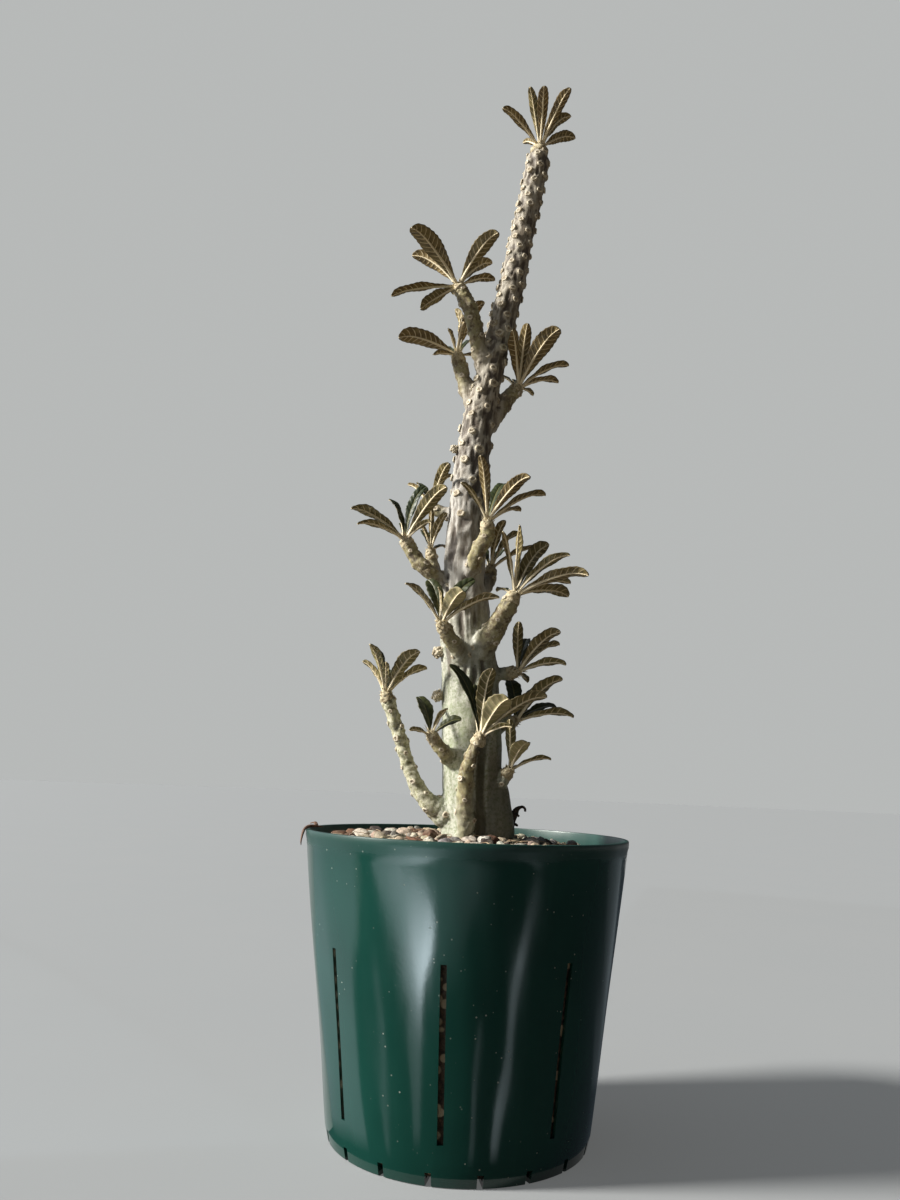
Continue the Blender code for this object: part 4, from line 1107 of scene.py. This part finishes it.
def make_gravel(material):
    """Loose stones of many sizes and colours, sitting in the soil."""
    draw = random.Random(21)
    shape = Shape()
    colours = []
    palette = [colour for colour, share in STONE_COLOURS for _ in range(share)]
    placed = []

    def free(x, y, radius, closeness):
        if math.hypot(x, y) > 56.6 - radius * 0.95:
            return False
        for cx, cy, clear in ((2, 1, 11.4), (9.5, -3.2, 7.4), (-0.5, -10, 3.4), (-9, -1.5, 3.5)):
            if math.hypot(x - cx, y - cy) < clear + radius * 0.55:
                return False
        return all(math.hypot(x - a, y - b) > (radius + r) * closeness for a, b, r in placed)

    for x, y, radius, colour in SHOW_STONES:
        placed.append((x, y, radius))
        height = soil_height(math.hypot(x, y), x) + radius * 0.42
        add_stone(shape, colours, np.array([x, y, height]), radius, colour, draw, 4)
    for low, high, tries, closeness, steps in ((2.6, 3.8, 1500, 0.82, 3), (1.6, 2.5, 3000, 0.72, 3), (0.8, 1.4, 4000, 0.66, 2)):
        for _ in range(tries):
            angle = draw.uniform(0, 2 * math.pi)
            reach = 57 * math.sqrt(draw.random())
            x = reach * math.cos(angle)
            y = reach * math.sin(angle)
            radius = draw.uniform(low, high)
            if not free(x, y, radius, closeness):
                continue
            placed.append((x, y, radius))
            height = soil_height(reach, x) + radius * draw.uniform(0.15, 0.5)
            add_stone(shape, colours, np.array([x, y, height]), radius, draw.choice(palette), draw, steps)
    piece = shape.build("gravel_stones", [material])
    layer = piece.data.color_attributes.new("stone_colour", "FLOAT_COLOR", "POINT")
    layer.data.foreach_set("color", np.concatenate(colours).ravel())
    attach(piece, "root")
    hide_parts("soil")
    return piece


def make_soil(material):
    """The filling under the gravel: a lumpy plug that clears the wall."""
    side_gap = WALL + FIT_GAP
    bottom = FLOOR + FIT_GAP
    outline = [(0.5, bottom), (20, bottom), (UNDERSIDE_RADIUS - side_gap - 1, bottom)]
    outline += [(wall_radius(z) - side_gap, z) for z in np.linspace(FOOT_HEIGHT, SOIL_EDGE_HEIGHT - SOIL_DIP - 1, 60)]
    outline += [(r, None) for r in np.linspace(57.0, 0.5, 30)]
    sides = 160
    angles = np.linspace(0, 2 * math.pi, sides, endpoint=False)
    rings = []
    for radius, z in outline:
        ring = []
        for angle in angles:
            x = math.cos(angle)
            y = math.sin(angle)
            if z is None:
                rough = 0.9 * noise.noise(Vector((x * radius, y * radius, 0)) * 0.35)
                ring.append((x * radius, y * radius, soil_height(radius, x * radius) - 0.8 + rough))
            else:
                rough = 0.9 * abs(noise.noise(Vector((x * radius, y * radius, z)) * 0.30)) if z > bottom else 0.0
                ring.append((x * (radius - rough), y * (radius - rough), z))
        rings.append(ring)
    shape = Shape()
    shape.add(np.vstack(rings), ring_faces(len(outline), sides))
    piece = shape.build("soil_filling", [material])
    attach(piece, "root")
    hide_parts("soil")
    return piece


def make_scraps(material, soil_material):
    """A curled dry leaf scrap over the rim at the left, and fine root fibres lying in the gravel."""
    shape = Shape()
    for points in DRY_SCRAP:
        path = smooth_path(points, 0.4)
        tube(shape, path, 12, 0, lambda row, angle: 0.45 * path[row][3] * math.cos(2 * angle), bark_map=(0, 0, 0))
    piece = shape.build("dry_scrap", [material])
    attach(piece, "root")
    draw = random.Random(8)
    shape = Shape()
    for _ in range(FIBRE_COUNT):
        angle = draw.uniform(0, 2 * math.pi)
        reach = draw.uniform(16, 50)
        turn = draw.uniform(0, 2 * math.pi)
        points = []
        for step in range(6):
            turn += draw.uniform(-0.5, 0.5)
            x = reach * math.cos(angle) + 2.2 * step * math.cos(turn)
            y = reach * math.sin(angle) + 2.2 * step * math.sin(turn)
            radius = min(55.0, math.hypot(x, y))
            lift = FIBRE_ARCH * math.sin(math.pi * step / 5)
            points.append((x, y, soil_height(radius, x) + 0.6 + lift, FIBRE_RADIUS))
        if max(math.hypot(x, y) for x, y, _, _ in points) < 55.5:
            tube(shape, smooth_path(points, 0.5), 6)
    fibres = shape.build("root_fibres", [soil_material])
    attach(fibres, "root")


def cutter_box(name, size, place, bearing, collection):
    """A box cutter standing at a place on a bearing from the pot's axis."""
    mesh = bpy.data.meshes.new(name)
    work = bmesh.new()
    bmesh.ops.create_cube(work, size=1.0)
    bmesh.ops.scale(work, vec=Vector(size) * MM, verts=work.verts)
    bmesh.ops.translate(work, vec=Vector(place) * MM, verts=work.verts)
    bmesh.ops.rotate(work, cent=(0, 0, 0), matrix=Matrix.Rotation(math.radians(bearing), 3, "Z"), verts=work.verts)
    work.to_mesh(mesh)
    work.free()
    thing = bpy.data.objects.new(name, mesh)
    collection.objects.link(thing)


def make_pot(material):
    """The slit pot: a turned shell with a rounded rim, slits, edge slots and drain holes, slightly dented."""
    band_foot = POT_HEIGHT - RIM_BAND
    inner_rim = RIM_RADIUS - RIM_STEP - WALL
    heights = np.linspace(FOOT_HEIGHT, band_foot, WALL_ROWS)
    profile = [(0.0, FLOOR), (UNDERSIDE_RADIUS - WALL, FLOOR)]
    profile += [(wall_radius(z) - WALL, z) for z in heights]
    profile += [(inner_rim, POT_HEIGHT - 0.5), (inner_rim + 0.15, POT_HEIGHT - 0.12), (inner_rim + 0.5, POT_HEIGHT),
                (RIM_RADIUS - 0.5, POT_HEIGHT), (RIM_RADIUS - 0.12, POT_HEIGHT - 0.14), (RIM_RADIUS, POT_HEIGHT - 0.6),
                (RIM_RADIUS - 0.02, band_foot + 2.0), (RIM_RADIUS - 0.16, band_foot + 1.0)]
    profile += [(wall_radius(z), z) for z in heights[::-1]]
    profile += [(UNDERSIDE_RADIUS + 0.3, 0.3), (UNDERSIDE_RADIUS - 0.3, 0.0), (0.0, 0.0)]
    mesh = bpy.data.meshes.new("pot_shell")
    points = [(radius * MM, 0.0, z * MM) for radius, z in profile]
    mesh.from_pydata(points, [(i, i + 1) for i in range(len(points) - 1)], [])
    pot = link("pot_shell", mesh)
    screw = pot.modifiers.new("turn", "SCREW")
    screw.steps = POT_STEPS
    screw.render_steps = POT_STEPS
    screw.use_merge_vertices = True
    screw.merge_threshold = 0.00001
    cutters = bpy.data.collections.new("cutters")
    bpy.context.scene.collection.children.link(cutters)
    for index in range(SLIT_COUNT):
        reach = RIM_RADIUS - FOOT_RADIUS + 10.0
        size = (reach, SLIT_WIDTH, SLIT_TOP - SLIT_BOTTOM)
        place = ((RIM_RADIUS + FOOT_RADIUS) / 2, 0.0, (SLIT_TOP + SLIT_BOTTOM) / 2)
        cutter_box(f"slit_{index}", size, place, SLIT_FIRST_BEARING + index * 360.0 / SLIT_COUNT, cutters)
    for index in range(SLOT_COUNT):
        reach = FOOT_RADIUS + 2.0 - SLOT_INNER_RADIUS
        size = (reach, SLOT_WIDTH, 2 * FOOT_HEIGHT)
        place = (SLOT_INNER_RADIUS + reach / 2, 0.0, 0.0)
        cutter_box(f"slot_{index}", size, place, SLOT_FIRST_BEARING + index * 360.0 / SLOT_COUNT, cutters)
    for index in range(DRAIN_COUNT):
        angle = math.radians(index * 360.0 / DRAIN_COUNT)
        work = bmesh.new()
        bmesh.ops.create_cone(work, cap_ends=True, segments=24, radius1=DRAIN_RADIUS * MM,
                              radius2=DRAIN_RADIUS * MM, depth=4 * FLOOR * MM)
        spot = Vector((DRAIN_RING * math.cos(angle), DRAIN_RING * math.sin(angle), 0.0)) * MM
        bmesh.ops.translate(work, vec=spot, verts=work.verts)
        hole = bpy.data.meshes.new(f"drain_{index}")
        work.to_mesh(hole)
        work.free()
        cutters.objects.link(bpy.data.objects.new(f"drain_{index}", hole))
    cut = pot.modifiers.new("cut", "BOOLEAN")
    cut.operation = "DIFFERENCE"
    cut.solver = "EXACT"
    cut.operand_type = "COLLECTION"
    cut.collection = cutters
    shell = bpy.data.meshes.new_from_object(pot.evaluated_get(bpy.context.evaluated_depsgraph_get()))
    pot.modifiers.clear()
    pot.data = shell
    for used in list(cutters.objects):
        bpy.data.objects.remove(used)
    bpy.data.collections.remove(cutters)
    work = bmesh.new()
    work.from_mesh(shell)
    bmesh.ops.remove_doubles(work, verts=work.verts, dist=0.000002)
    bmesh.ops.recalc_face_normals(work, faces=work.faces)
    for vertex in work.verts:
        x, y, z = vertex.co / MM
        radius = math.hypot(x, y)
        if radius < 0.9 * UNDERSIDE_RADIUS:
            continue
        angle = math.atan2(y, x)
        free = math.sin(math.pi * min(1.0, max(0.0, z / band_foot))) ** 0.7
        lean = angle + WALL_LEAN * z
        dent = noise.noise(Vector((math.cos(lean) * 3.2, math.sin(lean) * 3.2, z * 0.016)))
        dent += 0.4 * noise.noise(Vector((math.cos(lean) * 7.5, math.sin(lean) * 7.5, z * 0.024 + 5)))
        push = WALL_WAVE * free * dent
        vertex.co.x += math.cos(angle) * push * MM
        vertex.co.y += math.sin(angle) * push * MM
    work.to_mesh(shell)
    work.free()
    shell.polygons.foreach_set("use_smooth", [True] * len(shell.polygons))
    shell.set_sharp_from_angle(angle=math.radians(35))
    shell.materials.clear()
    shell.materials.append(material)
    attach(pot, "root")
    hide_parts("pot")
    return pot


def make_camera():
    """The camera where the photograph was taken from."""
    data = bpy.data.cameras.new("camera")
    data.sensor_fit = "VERTICAL"
    data.sensor_height = SENSOR_HEIGHT
    data.lens = LENS
    data.clip_start = 0.01
    camera = bpy.data.objects.new("camera", data)
    turn = (Matrix.Rotation(math.radians(CAMERA_YAW), 3, "Z") @ Matrix.Rotation(math.radians(CAMERA_PITCH), 3, "X")
            @ Matrix.Rotation(math.radians(CAMERA_ROLL), 3, "Y"))
    level = Matrix.Rotation(math.radians(90), 3, "X")
    camera.matrix_world = Matrix.Translation(Vector(CAMERA_PLACE) * MM) @ (turn @ level).to_4x4()
    bpy.context.scene.collection.objects.link(camera)
    bpy.context.scene.camera = camera


def make_light(name, kind, energy, bearing, climb, distance=1.0, colour=(1, 1, 1), **settings):
    """A lamp on a bearing from the front, aimed at the plant; positive bearings are on the right."""
    data = bpy.data.lights.new(name, kind)
    data.energy = energy
    data.color = colour
    for key, value in settings.items():
        setattr(data, key, value)
    lamp = bpy.data.objects.new(name, data)
    turn = math.radians(bearing)
    rise = math.radians(climb)
    way = Vector((math.sin(turn) * math.cos(rise), -math.cos(turn) * math.cos(rise), math.sin(rise)))
    lamp.location = way * distance + Vector((0, 0, 0.2))
    lamp.rotation_euler = way.to_track_quat("Z", "Y").to_euler()
    bpy.context.scene.collection.objects.link(lamp)


def mirrored_spot(height, bearing, level):
    """The spot at a level near the floor that the pot's wall mirrors to the camera from a height and bearing."""
    lean = math.atan2(RIM_RADIUS - RIM_STEP - FOOT_RADIUS, POT_HEIGHT - RIM_BAND - FOOT_HEIGHT)
    turn = math.radians(bearing)
    out = Vector((math.sin(turn), -math.cos(turn), 0.0))
    place = out * wall_radius(height) + Vector((0, 0, height))
    facing = out * math.cos(lean) - Vector((0, 0, math.sin(lean)))
    sight = (place - Vector(CAMERA_PLACE)).normalized()
    bounce = sight - 2 * sight.dot(facing) * facing
    return place + bounce * ((level - height) / bounce.z)


def make_glow(name, rows, level):
    """A soft bright shape near the floor, seen only in gloss: its rows say where it shows on the pot's wall."""
    heights = [row[0] for row in rows]
    count = int((heights[0] - heights[-1]) / 2.0) + 1
    points = []
    strengths = []
    for index in range(count + 1):
        height = heights[0] + (heights[-1] - heights[0]) * index / count
        left, right, weak, strong = (np.interp(-height, [-h for h in heights], [row[k] for row in rows]) for k in range(1, 5))
        fade = min(1.0, index / 3.0, (count - index) / 3.0) if index else 0.0
        columns = [(left - GLOW_EDGE, 0.0), (left, weak), ((left + right) / 2, (weak * 2 + strong) / 3), (right, strong),
                   (right + GLOW_EDGE * 0.6, 0.0)]
        for bearing, strength in columns:
            points.append(mirrored_spot(height, bearing, level) * MM)
            strengths.append(strength * (fade if heights[0] < 100 or index > count / 2 else 1.0))
    mesh = bpy.data.meshes.new(name)
    mesh.from_pydata(points, [], ring_faces(count + 1, 5, closed=False, capped=False))
    layer = mesh.color_attributes.new("glow", "FLOAT_COLOR", "POINT")
    values = np.ones((len(points), 4))
    values[:, :3] = np.array(CARD_GLOW) + np.array(strengths)[:, None] * np.array(GLOW_COLOUR)
    layer.data.foreach_set("color", values.ravel())
    mesh.materials.append(glow_finish(name, "glow"))
    stage_glow(link(name, mesh))


def glow_finish(name, attribute=None):
    """A plain emitting surface, in one colour or in the colours of a point attribute."""
    made = bpy.data.materials.new(name)
    made.use_nodes = True
    tree = made.node_tree
    tree.nodes.remove(tree.nodes["Principled BSDF"])
    glow = tree.nodes.new("ShaderNodeEmission")
    glow.inputs["Color"].default_value = (*CARD_GLOW, 1)
    if attribute:
        source = tree.nodes.new("ShaderNodeAttribute")
        source.attribute_name = attribute
        tree.links.new(source.outputs["Color"], glow.inputs["Color"])
    tree.links.new(glow.outputs[0], tree.nodes["Material Output"].inputs["Surface"])
    return made


def stage_glow(thing):
    """A light shape that only gloss sees."""
    thing.visible_camera = False
    thing.visible_diffuse = False
    thing.visible_shadow = False
    thing.visible_transmission = False


def make_card():
    """A dark card on the floor in front, which only gloss mirrors, so that the pot isn't washed out by the floor."""
    mesh = bpy.data.meshes.new("card")
    steps = 48
    start = math.radians(CARD_FROM)
    points = []
    for index in range(steps + 1):
        angle = start + (math.radians(CARD_TO) - start) * index / steps
        for radius in (CARD_NEAR, CARD_FAR):
            points.append((radius * MM * math.sin(angle), -radius * MM * math.cos(angle), CARD_HEIGHT * MM))
    mesh.from_pydata(points, [], [(2 * i, 2 * i + 1, 2 * i + 3, 2 * i + 2) for i in range(steps)])
    mesh.materials.append(glow_finish("card"))
    stage_glow(link("card", mesh))


def make_studio():
    """A pale floor, a soft key from the left, a weak fill and a pale surround."""
    mesh = bpy.data.meshes.new("floor")
    work = bmesh.new()
    bmesh.ops.create_circle(work, cap_ends=True, segments=64, radius=9.0)
    work.to_mesh(mesh)
    work.free()
    mesh.materials.append(floor_finish())
    floor = link("floor", mesh)
    make_light("key", "SUN", 7.4, -78, 29, colour=(1.0, 0.965, 0.90), angle=math.radians(10))
    make_card()
    for index, rows in enumerate(GLOWS):
        make_glow(f"glow_{index}", rows, GLOW_HEIGHT + index * GLOW_STEP)
    world = bpy.data.worlds.new("surround")
    bpy.context.scene.world = world
    world.use_nodes = True
    tree = world.node_tree
    shader = tree.nodes["Background"]
    place = tree.nodes.new("ShaderNodeTexCoord")
    axes = tree.nodes.new("ShaderNodeSeparateXYZ")
    tree.links.new(place.outputs["Generated"], axes.inputs[0])
    side = tree.nodes.new("ShaderNodeMapRange")
    side.interpolation_type = "SMOOTHSTEP"
    tree.links.new(axes.outputs[0], side.inputs[0])
    side.inputs[1].default_value = -1.0
    side.inputs[2].default_value = 0.2
    glow = tree.nodes.new("ShaderNodeMix")
    glow.data_type = "RGBA"
    tree.links.new(side.outputs[0], glow.inputs[0])
    glow.inputs[6].default_value = (0.42, 0.46, 0.50, 1)
    glow.inputs[7].default_value = (0.035, 0.038, 0.042, 1)
    seen = tree.nodes.new("ShaderNodeLightPath")
    gloss = tree.nodes.new("ShaderNodeMath")
    gloss.operation = "MULTIPLY_ADD"
    tree.links.new(seen.outputs["Is Glossy Ray"], gloss.inputs[0])
    gloss.inputs[1].default_value = 1.4
    gloss.inputs[2].default_value = 1.0
    lift = tree.nodes.new("ShaderNodeMath")
    lift.operation = "SUBTRACT"
    lift.inputs[0].default_value = 1.0
    tree.links.new(seen.outputs["Is Camera Ray"], lift.inputs[1])
    strength = tree.nodes.new("ShaderNodeMath")
    strength.operation = "POWER"
    tree.links.new(gloss.outputs[0], strength.inputs[0])
    tree.links.new(lift.outputs[0], strength.inputs[1])
    tree.links.new(strength.outputs[0], shader.inputs["Strength"])
    mix = tree.nodes.new("ShaderNodeMix")
    mix.data_type = "RGBA"
    tree.links.new(seen.outputs["Is Camera Ray"], mix.inputs[0])
    tree.links.new(glow.outputs[2], mix.inputs[6])
    mix.inputs[7].default_value = (0.475, 0.488, 0.482, 1)
    tree.links.new(mix.outputs[2], shader.inputs["Color"])
    bpy.context.scene.view_settings.view_transform = "Standard"


def main():
    """Dress every piece and light it."""
    make_camera()
    make_studio()
    draw = random.Random(3)
    greens = [leaf_under(), leaf_upper(), crown_finish()]
    for name, shoot in SHOOTS.items():
        make_rosette(name, shoot, greens, draw)
    make_stem([bark_finish(), scar_finish(), stub_finish()])
    make_soil(soil_finish())
    make_gravel(stone_finish())
    make_pot(pot_finish())
    make_scraps(scrap_finish(), fibre_finish())


main()
